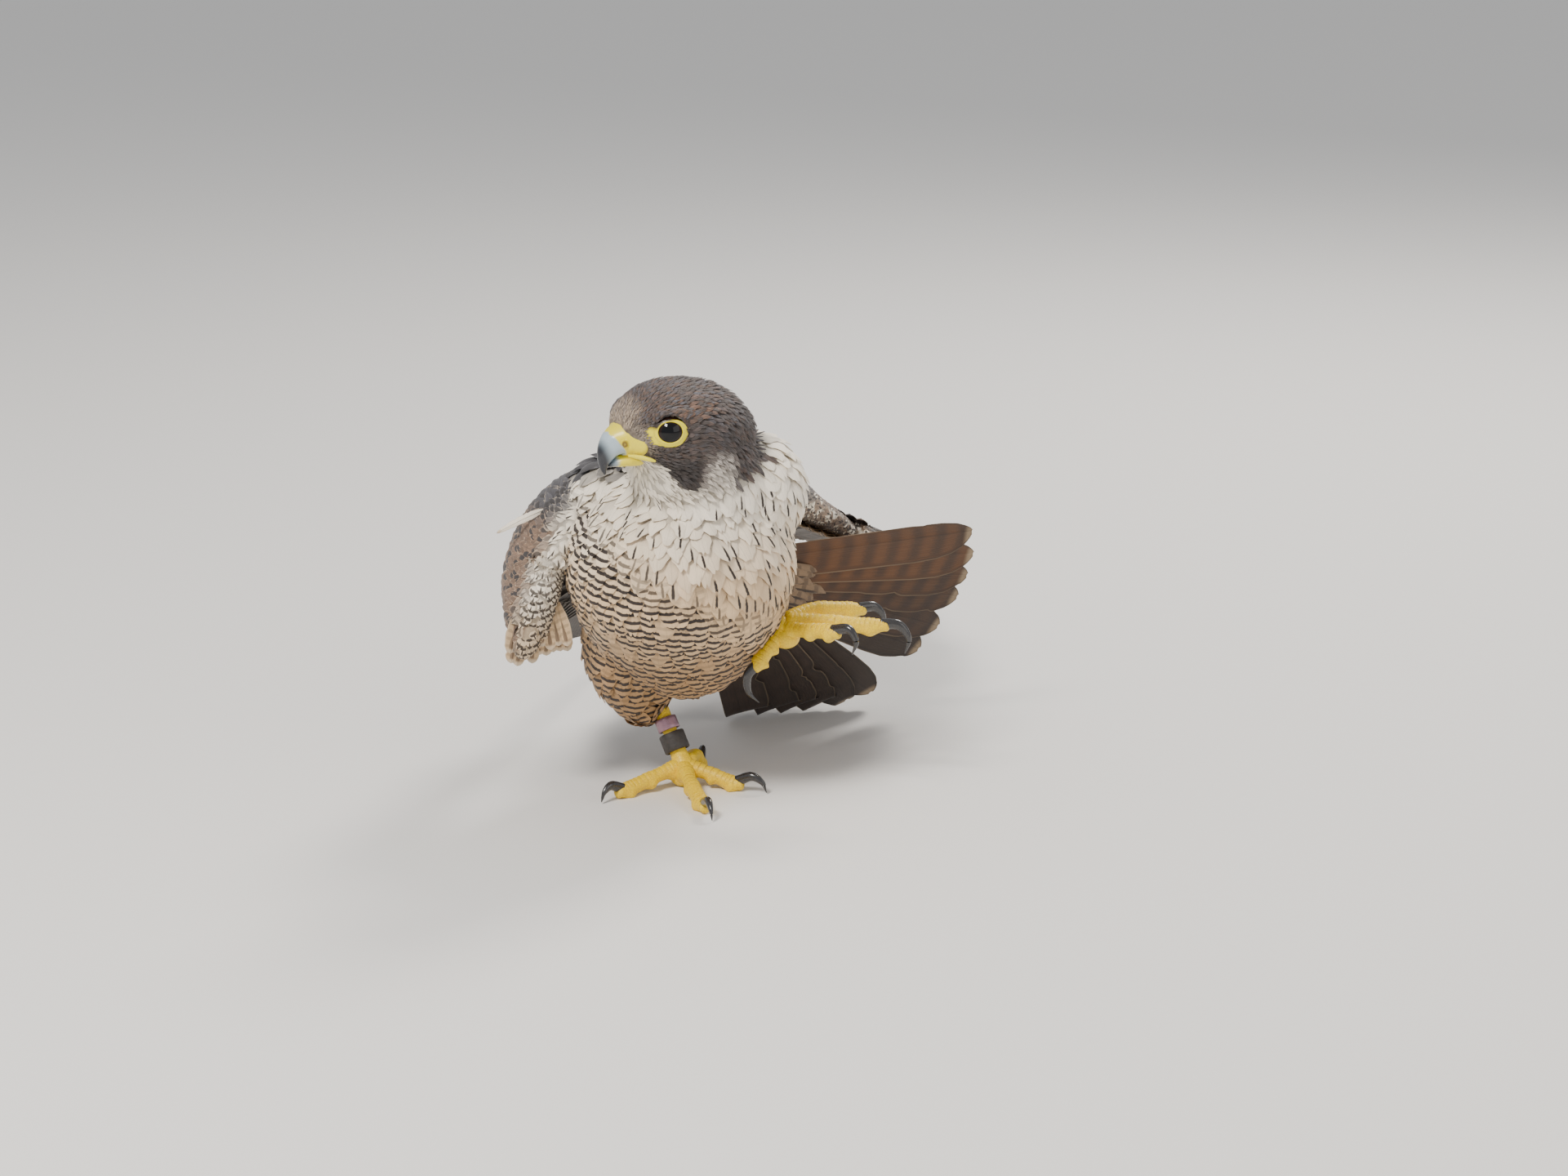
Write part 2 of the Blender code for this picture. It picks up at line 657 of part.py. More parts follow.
def covert_tiers(wing, rng):
    """Tiers of coverts over the flight feathers, longest next to them."""
    made = []
    tiers = (
        # count, first and last place, length, width, forward shift, lift
        (8, 0.02, 0.84, 5.6, 2.7, 0.3, 0.60),
        (6, 0.06, 0.86, 3.9, 2.7, 1.5, 0.95))
    for count, first, last, length, width, shift, lift in tiers:
        for k in range(count):
            share = first + (last - first) * k / (count - 1)
            room = min(1.0, 0.35 + 1.6 * share)
            base = bone_line(wing, share) - wing.chord * (shift * room * CM)
            base = base + wing.up * (lift * 0.72 * CM)
            direction = wing.primary_first.lerp(wing.secondary_last, share)
            direction = direction - wing.up * 0.04
            size = 1.0 + rng.uniform(-0.06, 0.06)
            made.append(vane(base, direction, wing.up, length * size * CM, width * CM, COVERT,
                             wing.roll * wing.outer_side * 1.3, 0.06))
    for k in range(5):
        share = k / 4
        base = wing.wrist.lerp(wing.hand_tip, share * 0.92) + wing.up * 4.0 * MM
        direction = wing.primary_first.lerp(wing.primary_last, share)
        made.append(vane(base, direction - wing.up * 0.03, wing.up, (7.2 - 1.0 * share) * CM,
                         1.9 * CM, COVERT, wing.roll * wing.outer_side * 1.4, 0.02))
    thumb = wing.wrist - wing.chord * 0.5 * CM + wing.up * 1.5 * MM
    for k in range(2):
        way = wing.primary_last - wing.chord * (0.05 * k)
        made.append(vane(thumb + wing.up * (1.6 * MM * k), way, wing.up, (6.2 - 1.2 * k) * CM,
                         1.3 * CM, POINTED, 0.0, 0.03))
    return made


def wing_shape(wing, rng):
    """One whole wing as one closed body, cut clear of the trunk."""
    pieces = wing_core(wing) + primaries(wing) + secondaries(wing) + covert_tiers(wing, rng)
    return combine(pieces)


def build_wings_and_tail():
    """Both wings and the tail, each trimmed where it meets the trunk."""
    rng = random.Random(SEED)
    flesh = [bpy.data.objects[name].data for name in ("torso", "neck", "thigh_right",
                                                      "thigh_left")]
    for name, wing in (("wing_right", RIGHT_WING), ("wing_left", LEFT_WING)):
        whole = wing_shape(wing, rng)
        node(name, trim(whole, *flesh), (0.33, 0.27, 0.22))
    node("tail", trim(tail_shape(), *flesh), (0.36, 0.26, 0.18))


def swollen(mesh, amount):
    """A copy of a mesh with each point moved out along its normal."""
    bm = bmesh.new()
    bm.from_mesh(mesh)
    bmesh.ops.triangulate(bm, faces=bm.faces)
    bm.normal_update()
    moves = [vertex.normal * amount for vertex in bm.verts]
    for vertex, move in zip(bm.verts, moves):
        vertex.co += move
    made = bpy.data.meshes.new("swollen")
    bm.to_mesh(made)
    bm.free()
    return made


def trim(mesh, *neighbours):
    """A mesh cut clear of its neighbours, with the usual gap between them."""
    cutters = [swollen(neighbour, 1.25 * GAP) for neighbour in neighbours]
    return combine([mesh] + cutters, "DIFFERENCE")


# Legs and feet


def thigh_stations(side):
    """The feathered thigh, for the standing right leg or the lifted left one."""
    if side < 0:
        return scaled([(-2.4, 0.4, 9.8, 3.3, 3.0, 3.2), (-2.6, 0.7, 7.4, 3.1, 2.8, 2.9),
                       (-2.45, 1.0, 5.7, 2.55, 2.3, 2.3), (-2.25, 1.3, 4.5, 1.85, 1.7, 1.6),
                       (-2.0, 1.5, 3.5, 1.05, 1.1, 1.0)])
    return scaled([(2.4, 0.6, 9.6, 2.9, 2.8, 2.8), (3.0, 0.5, 8.5, 2.3, 2.3, 2.4),
                   (3.6, 0.3, 8.2, 1.5, 1.5, 1.6), (4.15, -0.05, 8.4, 0.9, 0.9, 0.9)])


def toe_path(points, radii):
    """Stations along a toe, with its own radius at each point."""
    return [[*point, radius, radius, radius] for point, radius in zip(points, radii)]


# Points along each toe from the foot outwards, in centimetres, and the claw beyond it
RIGHT_TOES = {
    1: ([(0.25, 0.5, 1.15), (0.60, 1.6, 1.15), (0.80, 2.5, 0.42), (0.90, 3.0, 0.33)],
        [(0.92, 2.85, 0.53), (0.95, 3.75, 0.90), (1.0, 4.35, 0.62), (1.0, 4.6, 0.12)]),
    2: ([(0.35, -0.15, 1.0), (1.5, -0.55, 0.75), (2.5, -0.95, 0.42), (3.1, -1.2, 0.33)],
        [(2.95, -1.1, 0.53), (3.75, -1.5, 0.92), (4.35, -1.75, 0.66), (4.6, -1.85, 0.12)]),
    3: ([(0.05, -0.4, 1.0), (0.45, -2.2, 0.75), (0.95, -4.1, 0.42), (1.3, -5.3, 0.33)],
        [(1.25, -5.1, 0.53), (1.5, -6.0, 0.90), (1.65, -6.6, 0.64), (1.72, -6.85, 0.12)]),
    4: ([(-0.35, -0.2, 1.0), (-1.5, -1.0, 0.75), (-2.7, -1.9, 0.42), (-3.4, -2.6, 0.33)],
        [(-3.28, -2.45, 0.53), (-3.85, -3.0, 0.86), (-4.2, -3.4, 0.6), (-4.35, -3.6, 0.12)])}
LEFT_TOES = {
    1: ([(5.45, -1.9, 9.2), (4.90, -2.4, 8.6), (4.35, -2.8, 7.95), (4.1, -3.0, 7.55)],
        [(4.15, -3.0, 7.75), (3.6, -3.1, 7.1), (3.65, -3.1, 6.2), (4.2, -3.1, 5.6)]),
    2: ([(5.85, -2.0, 9.4), (6.75, -2.8, 9.5), (7.75, -3.5, 9.65), (8.35, -4.0, 9.65)],
        [(8.2, -3.9, 9.85), (9.0, -4.5, 10.05), (9.4, -4.8, 9.45), (9.2, -4.7, 8.7)]),
    3: ([(6.0, -1.8, 9.75), (7.6, -1.9, 9.8), (9.6, -2.0, 9.6), (11.0, -2.1, 9.6)],
        [(10.85, -2.1, 9.75), (11.8, -2.15, 9.65), (12.3, -2.2, 8.9), (12.1, -2.2, 8.1)]),
    4: ([(5.9, -1.5, 9.8), (7.1, -0.7, 10.15), (8.7, -0.1, 10.0), (9.8, 0.2, 9.9)],
        [(9.7, 0.15, 10.05), (10.5, 0.4, 10.05), (11.0, 0.6, 9.45), (10.9, 0.55, 8.8)])}
TOE_SWELLING = (1.15, 0.95, 1.05, 0.82)
# The middle pad of a foot, from the end of its tarsus
SOLE = cm(0.0, -0.1, -0.55)


def toe_mesh(points, grow=0.0):
    """One toe, thick at its pads."""
    radii = [TOE_RADIUS * share for share in TOE_SWELLING]
    return sweep(toe_path([cm(*p) for p in points], radii), 6, 8, Vector((0, 0, 1)),
                 (0.8, 0.8), grow)


def claw_mesh(points):
    """One curved claw, deep at its root and sharp at its tip."""
    halves = ((2.0, 2.6), (1.7, 2.1), (1.0, 1.2), (0.25, 0.3))
    rows = [[*cm(*point), wide * MM, tall * MM, tall * MM]
            for point, (wide, tall) in zip(points, halves)]
    across = cm(*points[1]) - cm(*points[0])
    up = across.cross(Vector((0, 0, 1))).cross(across)
    return sweep(rows, 5, 6, up, (0.6, 0.8))


def foot_mesh(foot, heel, toes):
    """Tarsus, middle pad and four toes in one closed body."""
    way = foot - heel
    rows = []
    for share, size in ((0.0, 1.25), (0.2, 1.0), (0.55, 0.88), (0.85, 1.02), (1.0, 1.35)):
        radius = TARSUS_RADIUS * size
        rows.append([*(heel + way * share), radius, radius, radius])
    pieces = [sweep(rows, 7, 12, Vector((0, 1, 0.2)), (0.5, 0.7))]
    pieces += [toe_mesh(points) for points, _ in toes.values()]
    pieces.append(ball(foot + SOLE, (8.0 * MM, 8.0 * MM, 6.6 * MM), 14, 9))
    return combine(pieces)


def band(centre, axis, inner, wall, height):
    """An open band round a leg: a thick tube."""
    side, axis, high = frame(axis, Vector((0.2, 1, 0.3)))
    segments = 18
    vertices = []
    for step in range(segments):
        turn = 2 * math.pi * step / segments
        out = side * math.cos(turn) + high * math.sin(turn)
        for radius, along in ((inner, -0.5), (inner + wall, -0.5), (inner + wall, 0.5),
                              (inner, 0.5)):
            vertices.append(centre + out * radius + axis * (along * height))
    faces = []
    for step in range(segments):
        for k in range(4):
            a = step * 4 + k
            b = step * 4 + (k + 1) % 4
            c = ((step + 1) % segments) * 4 + (k + 1) % 4
            d = ((step + 1) % segments) * 4 + k
            faces.append((a, b, c, d))
    return solid(vertices, faces)


RING_PLACE = 0.50
RING_HEIGHT = 8.0 * MM


def worn_bands():
    """The leather band round each leg and the plain metal ring above the right one."""
    right = FOOT_RIGHT - HEEL_RIGHT
    left = FOOT_LEFT - HEEL_LEFT
    inner = TARSUS_RADIUS * 1.06 + GAP
    return {
        "anklet_right": band(HEEL_RIGHT + right * 0.72, right, inner * 1.1, LEATHER, 10.5 * MM),
        "anklet_left": band(HEEL_LEFT + left * 0.70, left, inner, LEATHER, 8.0 * MM),
        "leg_ring": band(HEEL_RIGHT + right * RING_PLACE, right, inner, RING_WALL, RING_HEIGHT)}


def ring_recess():
    """The room that the leg feathers leave round the metal ring."""
    way = FOOT_RIGHT - HEEL_RIGHT
    middle = HEEL_RIGHT + way * RING_PLACE
    reach = way.normalized() * (RING_HEIGHT / 2 + 2 * GAP)
    radius = TARSUS_RADIUS * 1.06 + RING_WALL + 3 * GAP
    rows = [[*(middle - reach), radius, radius, radius], [*(middle + reach), radius, radius, radius]]
    return sweep(rows, 2, 20, Vector((0.2, 1, 0.3)), (0.02, 0.02))


def build_legs():
    """Thighs, feet, claws and what the legs wear."""
    trunk = bpy.data.objects["torso"].data
    floor = box(Vector((-0.3, -0.3, -0.1)), Vector((0.3, 0.3, 0.0)))
    legs = (("right", -1, FOOT_RIGHT, HEEL_RIGHT, RIGHT_TOES),
            ("left", 1, FOOT_LEFT, HEEL_LEFT, LEFT_TOES))
    for name, side, foot, heel, toes in legs:
        thigh = sweep(thigh_stations(side), 8, 18, Vector((0, 1, 0.1)), (0.5, 0.5))
        leg = foot_mesh(foot, heel, toes)
        if side < 0:
            leg = combine([leg, floor], "DIFFERENCE")
            thigh = combine([thigh, ring_recess()], "DIFFERENCE")
        thigh = trim(thigh, trunk)
        leg = trim(leg, trunk, thigh)
        node("thigh_" + name, thigh, (0.70, 0.60, 0.46))
        node("foot_" + name, leg, (0.85, 0.60, 0.07), 0.5)
        for number, (points, claw) in toes.items():
            claw_body = combine([claw_mesh(claw), toe_mesh(points, GAP)], "DIFFERENCE")
            node("claw_{}_{}".format(name, number), claw_body, (0.02, 0.02, 0.02), 0.25)
    bands = worn_bands()
    node("anklet_right", bands["anklet_right"], (0.03, 0.025, 0.02), 0.6)
    node("anklet_left", trim(bands["anklet_left"], trunk, bpy.data.objects["thigh_left"].data),
         (0.03, 0.025, 0.02), 0.6)
    node("leg_ring", bands["leg_ring"], (0.62, 0.47, 0.52), 0.3, 0.8)


def clear_scene():
    """Start from an empty scene."""
    for thing in list(bpy.data.objects):
        bpy.data.objects.remove(thing)


clear_scene()
build_head_and_trunk()
build_legs()
build_wings_and_tail()
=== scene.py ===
# %% [markdown]
# # A peregrine falcon balancing on one foot
#
# The bird stands on its right foot with the left one lifted, both wings loosely open and
# the tail fanned. Its solids come from the frame and stay where they are. This file
# dresses them: one soft skin under a coat of small feathers, long feathers for wings
# and tail, and horn, scales, leather and metal for the rest. All lengths are in metres.

# %% Load the fixed frame
import math

import bmesh
import bpy
import numpy as np
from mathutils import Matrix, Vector
from mathutils.bvhtree import BVHTree


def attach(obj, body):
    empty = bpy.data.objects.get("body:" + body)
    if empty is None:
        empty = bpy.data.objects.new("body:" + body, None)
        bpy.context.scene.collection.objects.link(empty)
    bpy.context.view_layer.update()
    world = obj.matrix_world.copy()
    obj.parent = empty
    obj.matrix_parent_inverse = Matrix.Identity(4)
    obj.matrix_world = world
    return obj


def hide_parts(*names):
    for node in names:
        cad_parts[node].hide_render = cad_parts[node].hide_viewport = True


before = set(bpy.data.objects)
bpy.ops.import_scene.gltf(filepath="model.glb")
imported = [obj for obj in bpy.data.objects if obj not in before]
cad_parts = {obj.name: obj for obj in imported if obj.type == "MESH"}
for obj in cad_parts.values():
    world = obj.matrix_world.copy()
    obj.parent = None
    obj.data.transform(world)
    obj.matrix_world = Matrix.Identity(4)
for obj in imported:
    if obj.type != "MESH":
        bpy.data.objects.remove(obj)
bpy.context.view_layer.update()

CM = 0.01
MM = 0.001
UP = np.array((0.0, 0.0, 1.0))

# %% [markdown]
# ## Camera
#
# The picture was taken from a little above, at the height of the bird's back, from about
# two metres. An 80 mm lens at that distance keeps the bird's proportions.

# %% Camera
camera = bpy.data.objects.new("camera", bpy.data.cameras.new("camera"))
bpy.context.scene.collection.objects.link(camera)
bpy.context.scene.camera = camera
AIM = Vector((0.0556, 0.0, 0.112))
LOOK_DOWN = math.radians(14)
camera.location = AIM + 1.9 * Vector((0, -math.cos(LOOK_DOWN), math.sin(LOOK_DOWN)))
camera.rotation_euler = (math.pi / 2 - LOOK_DOWN, 0, 0)
camera.data.lens = 80
camera.data.clip_start = 0.05

# %% [markdown]
# ## Small tools for arrays
#
# Everything that follows is worked out as whole arrays of points. These helpers scale
# vectors, ease between values and give soft, repeatable noise.


# %% Vectors, steps and noise
def unit(vectors):
    """Vectors divided by their own length."""
    vectors = np.asarray(vectors, float)
    return vectors / np.maximum(np.linalg.norm(vectors, axis=-1, keepdims=True), 1e-12)


def ease(low, high, value):
    """0 below low, 1 above high and 3t^2 - 2t^3 between, where t is the share of the way."""
    t = np.clip((value - low) / (high - low), 0, 1)
    return t * t * (3 - 2 * t)


def between(first, second, share):
    """first where share is 0 and second where it is 1, for numbers or rows of three."""
    first, second, share = (np.asarray(value, float) for value in (first, second, share))
    if any(value.shape[-1:] == (3,) and value.shape != share.shape for value in (first, second)):
        share = share[..., None]
    return first + (second - first) * share


def ripple(points, size, seed):
    """Soft noise: the mean of eight plane waves in random directions, size metres long."""
    draw = np.random.default_rng(seed)
    waves = unit(draw.normal(size=(8, 3))) * draw.uniform(0.7, 1.5, (8, 1)) * 2 * np.pi / size
    return np.sin(points @ waves.T + draw.uniform(0, 6.28, 8)).mean(-1) * 2


def paint_colour(red, green, blue):
    """A screen colour, 0 to 255, as the linear values that materials use."""
    share = np.array((red, green, blue)) / 255
    return np.where(share < 0.04045, share / 12.92, ((share + 0.055) / 1.055) ** 2.4)


# %% [markdown]
# ## Small tools for meshes
#
# A mesh is filled from arrays in one go. Values that vary over a surface, such as the
# colour of the ground or the way along a feather, go in as attributes.


# %% Arrays into meshes
def mesh_of(name, points, triangles, values=None, uv=None, sharp=50):
    """A mesh from points, rows of three indices, named point values and a UV place each."""
    points = np.ascontiguousarray(np.asarray(points, np.float32).reshape(-1, 3))
    triangles = np.ascontiguousarray(np.asarray(triangles, np.int32).reshape(-1, 3))
    mesh = bpy.data.meshes.new(name)
    mesh.vertices.add(len(points))
    mesh.vertices.foreach_set("co", points.ravel())
    mesh.loops.add(triangles.size)
    mesh.loops.foreach_set("vertex_index", triangles.ravel())
    mesh.polygons.add(len(triangles))
    mesh.polygons.foreach_set("loop_start", np.arange(0, triangles.size, 3, dtype=np.int32))
    mesh.update(calc_edges=True)
    add_values(mesh, values or {})
    if uv is not None:
        layer = mesh.uv_layers.new(name="OFBake")
        corner = np.asarray(uv, np.float32).reshape(-1, 2)[triangles.ravel()]
        layer.data.foreach_set("uv", corner.ravel())
    mesh.shade_smooth()
    mesh.set_sharp_from_angle(angle=math.radians(sharp))
    return mesh


def add_values(mesh, values):
    """Point attributes: rows of three numbers as vectors, single numbers as floats."""
    for key, value in values.items():
        value = np.asarray(value, np.float32)
        if value.size == len(mesh.vertices):
            mesh.attributes.new(key, "FLOAT", "POINT").data.foreach_set("value", value.ravel())
        else:
            mesh.attributes.new(key, "FLOAT_VECTOR", "POINT").data.foreach_set(
                "vector", value.ravel())


def show(name, mesh, paint, nodes=()):
    """An object that rides on the body and stands for the named solids."""
    thing = bpy.data.objects.new(name, mesh)
    bpy.context.scene.collection.objects.link(thing)
    mesh.materials.clear()
    mesh.materials.append(paint.material)
    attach(thing, "root")
    if nodes:
        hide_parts(*nodes)
    print("{:22s}{:8d} triangles".format(name, sum(len(f.vertices) - 2 for f in mesh.polygons)))
    return thing


# %% [markdown]
# ## Shader maths in plain expressions
#
# A pattern is easier to read as a sum than as a web of nodes. A Wire is the end of a
# node, and adding or multiplying two of them adds the Math node that does it.


# %% Wires and paints
class Wire:
    """The output of a node, with the usual operators for numbers."""

    def __init__(self, paint, socket):
        self.paint = paint
        self.socket = socket

    def math(self, operation, *others):
        inputs = dict(enumerate((self, *others)))
        return self.paint.add("Math", {"operation": operation}, inputs)

    def __add__(self, other):
        return self.math("ADD", other)

    def __radd__(self, other):
        return self.math("ADD", other)

    def __sub__(self, other):
        return self.math("SUBTRACT", other)

    def __rsub__(self, other):
        return self.math("MULTIPLY_ADD", -1.0, other)

    def __mul__(self, other):
        return self.math("MULTIPLY", other)

    def __rmul__(self, other):
        return self.math("MULTIPLY", other)

    def __truediv__(self, other):
        return self.math("DIVIDE", other)

    def __abs__(self):
        return self.math("ABSOLUTE")

    def ease(self, low, high):
        """0 below low and 1 above high, smooth between; low above high turns it round."""
        if not isinstance(low, Wire) and not isinstance(high, Wire) and low > high:
            return 1 - self.ease(high, low)
        inputs = {"Value": self, "From Min": low, "From Max": high}
        return self.paint.add("MapRange", {"interpolation_type": "SMOOTHSTEP"}, inputs)


class Paint:
    """A Principled material, built one node at a time."""

    def __init__(self, name, **sockets):
        self.material = bpy.data.materials.new(name)
        self.material.use_nodes = True
        self.tree = self.material.node_tree
        self.shader = self.tree.nodes["Principled BSDF"]
        for key, value in sockets.items():
            self.shader.inputs[key.replace("_", " ")].default_value = value

    def add(self, kind, settings=None, inputs=None, output=0):
        """One node: its settings, then the values or wires of its sockets."""
        made = self.tree.nodes.new("ShaderNode" + kind)
        for key, value in (settings or {}).items():
            setattr(made, key, value)
        for key, value in (inputs or {}).items():
            self.join(value, made.inputs[key])
        return Wire(self, made.outputs[output])

    def join(self, value, socket):
        if isinstance(value, Wire):
            self.tree.links.new(value.socket, socket)
        else:
            socket.default_value = value

    def set(self, key, value):
        self.join(value, self.shader.inputs[key])

    def place(self):
        return self.add("TexCoord", output="Object")

    def attribute(self, name, output="Vector"):
        return self.add("Attribute", {"attribute_name": name}, None, output)

    def parts(self, wire):
        split = self.add("SeparateXYZ", None, {0: wire})
        node = split.socket.node
        return [Wire(self, node.outputs[k]) for k in range(3)]

    def noise(self, size, detail=3.0, vector=None):
        """Noise with features about size metres across, 0 to 1."""
        inputs = {"Vector": vector or self.place(), "Scale": 1 / size, "Detail": detail}
        return self.add("TexNoise", None, inputs)

    def mix(self, share, first, second):
        """A colour: first where share is 0, second where it is 1."""
        inputs = {0: share, 6: colour4(first), 7: colour4(second)}
        return self.add("Mix", {"data_type": "RGBA"}, inputs, 2)

    def scale(self, colour, share):
        """A colour made lighter or darker by a wire."""
        return self.add("VectorMath", {"operation": "SCALE"}, {0: colour, "Scale": share})

    def bump(self, height, distance, strength=1.0):
        inputs = {"Height": height, "Distance": distance, "Strength": strength}
        self.set("Normal", self.add("Bump", None, inputs))


def colour4(colour):
    """A colour of three numbers with full cover, or a wire as it is."""
    return colour if isinstance(colour, Wire) else (*[float(c) for c in colour], 1.0)


# %% [markdown]
# ## Tubes
#
# Arms, toes, claws and the bill are all bent lines with a changing oval round them. The
# line runs smoothly through a few stations, and each end is closed by a dome.


# %% Tubes along a bent line
def smooth_rows(rows, count):
    """Rows read off a smooth curve through them: each span is the cubic whose slopes at
    its ends are half the way from the row before to the row after."""
    rows = np.array(rows, float)
    last = len(rows) - 1
    padded = np.vstack([2 * rows[0] - rows[1], rows, 2 * rows[-1] - rows[-2]])
    place = np.linspace(0, last, count)
    start = np.minimum(place.astype(int), last - 1)
    t = (place - start)[:, None]
    a, b, c, d = (padded[start + k] for k in range(4))
    return 0.5 * (2 * b + (c - a) * t + (2 * a - 5 * b + 4 * c - d) * t ** 2
                  + (3 * b - a - 3 * c + d) * t ** 3)


def tube(stations, rings, sides, up=UP, domes=(0.6, 0.6), relief=None, caps=5):
    """Points, triangles, way along in metres and turn of a closed tube.

    A station is x, y, z, half width, half height above and below. A point is the centre
    plus across times width times cosine, plus high times height times sine. relief gives
    extra radius from the way along, its share and the turn.
    """
    rows = smooth_rows(stations, rings)
    centre = rows[:, :3]
    halves = np.maximum(rows[:, 3:6], 1e-5)
    tangent = unit(np.gradient(centre, axis=0))
    turn = np.pi / 2 * np.arange(caps, 0, -1) / (caps + 1)
    first = centre[0] - tangent[0] * (np.sin(turn) * domes[0] * halves[0, 0])[:, None]
    final = centre[-1] + tangent[-1] * (np.sin(turn) * domes[1] * halves[-1, 0])[::-1, None]
    centre = np.vstack([first, centre, final])
    halves = np.vstack([halves[0] * np.cos(turn)[:, None], halves,
                        halves[-1] * np.cos(turn)[::-1, None]])
    tangent = np.vstack([np.repeat(tangent[:1], caps, 0), tangent,
                         np.repeat(tangent[-1:], caps, 0)])
    across = unit(np.cross(tangent, up))
    high = unit(np.cross(across, tangent))
    angle = 2 * np.pi * np.arange(sides) / sides
    tall = np.where(np.sin(angle) > 0, halves[:, 1:2], halves[:, 2:3])
    way = np.concatenate([[0], np.cumsum(np.linalg.norm(np.diff(centre, axis=0), axis=1))])
    grow = np.zeros((len(centre), sides))
    if relief is not None:
        grow = relief(way[:, None], way[:, None] / way[-1], angle[None, :])
        grow = grow * ease(0, 0.05, (way / way[-1]))[:, None] * ease(1, 0.95, way / way[-1])[:, None]
    points = (centre[:, None] + across[:, None] * ((halves[:, :1] + grow) * np.cos(angle))[..., None]
              + high[:, None] * ((tall + grow) * np.sin(angle))[..., None])
    ends = np.array([centre[0] - tangent[0] * 0.1 * domes[0] * halves[0, 0],
                     centre[-1] + tangent[-1] * 0.1 * domes[1] * halves[-1, 0]])
    points = np.vstack([points.reshape(-1, 3), ends])
    along = np.concatenate([np.repeat(way, sides), [0, way[-1]]])
    turns = np.concatenate([np.tile(angle, len(centre)), [0, 0]])
    return points, tube_faces(len(centre), sides), along, turns


def tube_faces(rings, sides):
    """Two triangles for each cell between rings, and a fan at each end."""
    ring, step = np.meshgrid(np.arange(rings - 1), np.arange(sides), indexing="ij")
    a = (ring * sides + step).ravel()
    b = (ring * sides + (step + 1) % sides).ravel()
    c, d = b + sides, a + sides
    cells = np.concatenate([np.stack([a, b, c], 1), np.stack([a, c, d], 1)])
    step = np.arange(sides)
    after = (step + 1) % sides
    low = np.stack([after, step, np.full(sides, rings * sides)], 1)
    top = (rings - 1) * sides
    high = np.stack([top + step, top + after, np.full(sides, rings * sides + 1)], 1)
    return np.concatenate([cells, low, high])


def turned(profile, centre, axis, sides=64, wobble=None):
    """A profile of radius and height carried once round an axis, open at both ends or
    closed on itself; wobble scales the radius by the turn."""
    profile = np.array(profile, float)
    across = unit(np.cross(axis, (0.13, 0.22, 0.97)))
    high = np.cross(axis, across)
    angle = 2 * np.pi * np.arange(sides) / sides
    swell = np.ones(sides) if wobble is None else wobble(angle)
    spoke = across * np.cos(angle)[:, None] + high * np.sin(angle)[:, None]
    points = (np.asarray(centre) + spoke[None] * (profile[:, :1] * swell)[..., None]
              + np.asarray(axis) * profile[:, 1][:, None, None])
    rings = len(profile)
    ring, step = np.meshgrid(np.arange(rings - 1), np.arange(sides), indexing="ij")
    a = (ring * sides + step).ravel()
    b = (ring * sides + (step + 1) % sides).ravel()
    c, d = b + sides, a + sides
    return points.reshape(-1, 3), np.concatenate([np.stack([a, b, c], 1), np.stack([a, c, d], 1)])


def join_parts(parts):
    """Several bodies in one: points stacked, triangles shifted, other values stacked."""
    shift = np.cumsum([0] + [len(part[0]) for part in parts[:-1]])
    points = np.vstack([part[0] for part in parts])
    triangles = np.vstack([part[1] + s for part, s in zip(parts, shift)])
    rest = [np.concatenate([part[k] for part in parts]) for k in range(2, len(parts[0]))]
    return (points, triangles, *rest)


def outward(points, triangles):
    """Triangles turned so that the closed body they bound has a positive volume."""
    a, b, c = (points[triangles[:, k]] for k in range(3))
    if np.einsum("ij,ij->i", a, np.cross(b, c)).sum() < 0:
        return triangles[:, ::-1]
    return triangles


# %% [markdown]
# ## Where things are on the body
#
# The head looks to the bird's right. Its own three directions, forward, left and up,
# make it easy to say where the hood ends or where an eye sits.

# %% Landmarks
HEAD_CENTRE = np.array((-0.35, -6.0, 21.25)) * CM
HEAD_YAW = math.radians(59)
HEAD_FORWARD = np.array((-math.sin(HEAD_YAW), -math.cos(HEAD_YAW), 0.0))
HEAD_LEFT = np.array((math.cos(HEAD_YAW), -math.sin(HEAD_YAW), 0.0))
HEAD_AXES = np.stack([HEAD_FORWARD, HEAD_LEFT, UP])
TAIL_ROOT = np.array((0.85, 4.2, 11.5)) * CM
TAIL_AXIS = unit((0.651, 0.589, -0.479))
TAIL_UP = unit((-0.317, 0.784, 0.533))
EYE_PLACE = np.array((1.15, 1.95, 0.38))
EYE_LOOK = np.array((0.44, 0.895, 0.06))
EYE_RADIUS = 9.4 * MM


def head_point(forward, left, up):
    """A point given in centimetres forward, left and up of the middle of the head."""
    return HEAD_CENTRE + (np.array((forward, left, up)) * CM) @ HEAD_AXES


def in_head(points):
    """Points as centimetres forward, left and up of the middle of the head."""
    return ((points - HEAD_CENTRE) / CM) @ HEAD_AXES.T


def eye_centre(side):
    return head_point(*(EYE_PLACE * (1, side, 1)))


def eye_look(side):
    return unit((EYE_LOOK * (1, side, 1)) @ HEAD_AXES)


def eye_axes(side):
    """The way to the front of the eye and the way up, both square to its look."""
    look = eye_look(side)
    front = unit(HEAD_FORWARD - look * (HEAD_FORWARD @ look))
    up = unit(UP - look * (UP @ look) - front * (UP @ front))
    return front, up


def eye_reach(turn):
    """How far the bare ring reaches, in millimetres, by degrees from front over up."""
    return np.interp(turn, (-180, -135, -90, -50, -24, -6, 8, 22, 45, 80, 110, 140, 180),
                     (9.4, 8.7, 7.8, 9.2, 12.4, 13.8, 12.6, 9.6, 7.2, 6.5, 6.7, 7.9, 9.4))


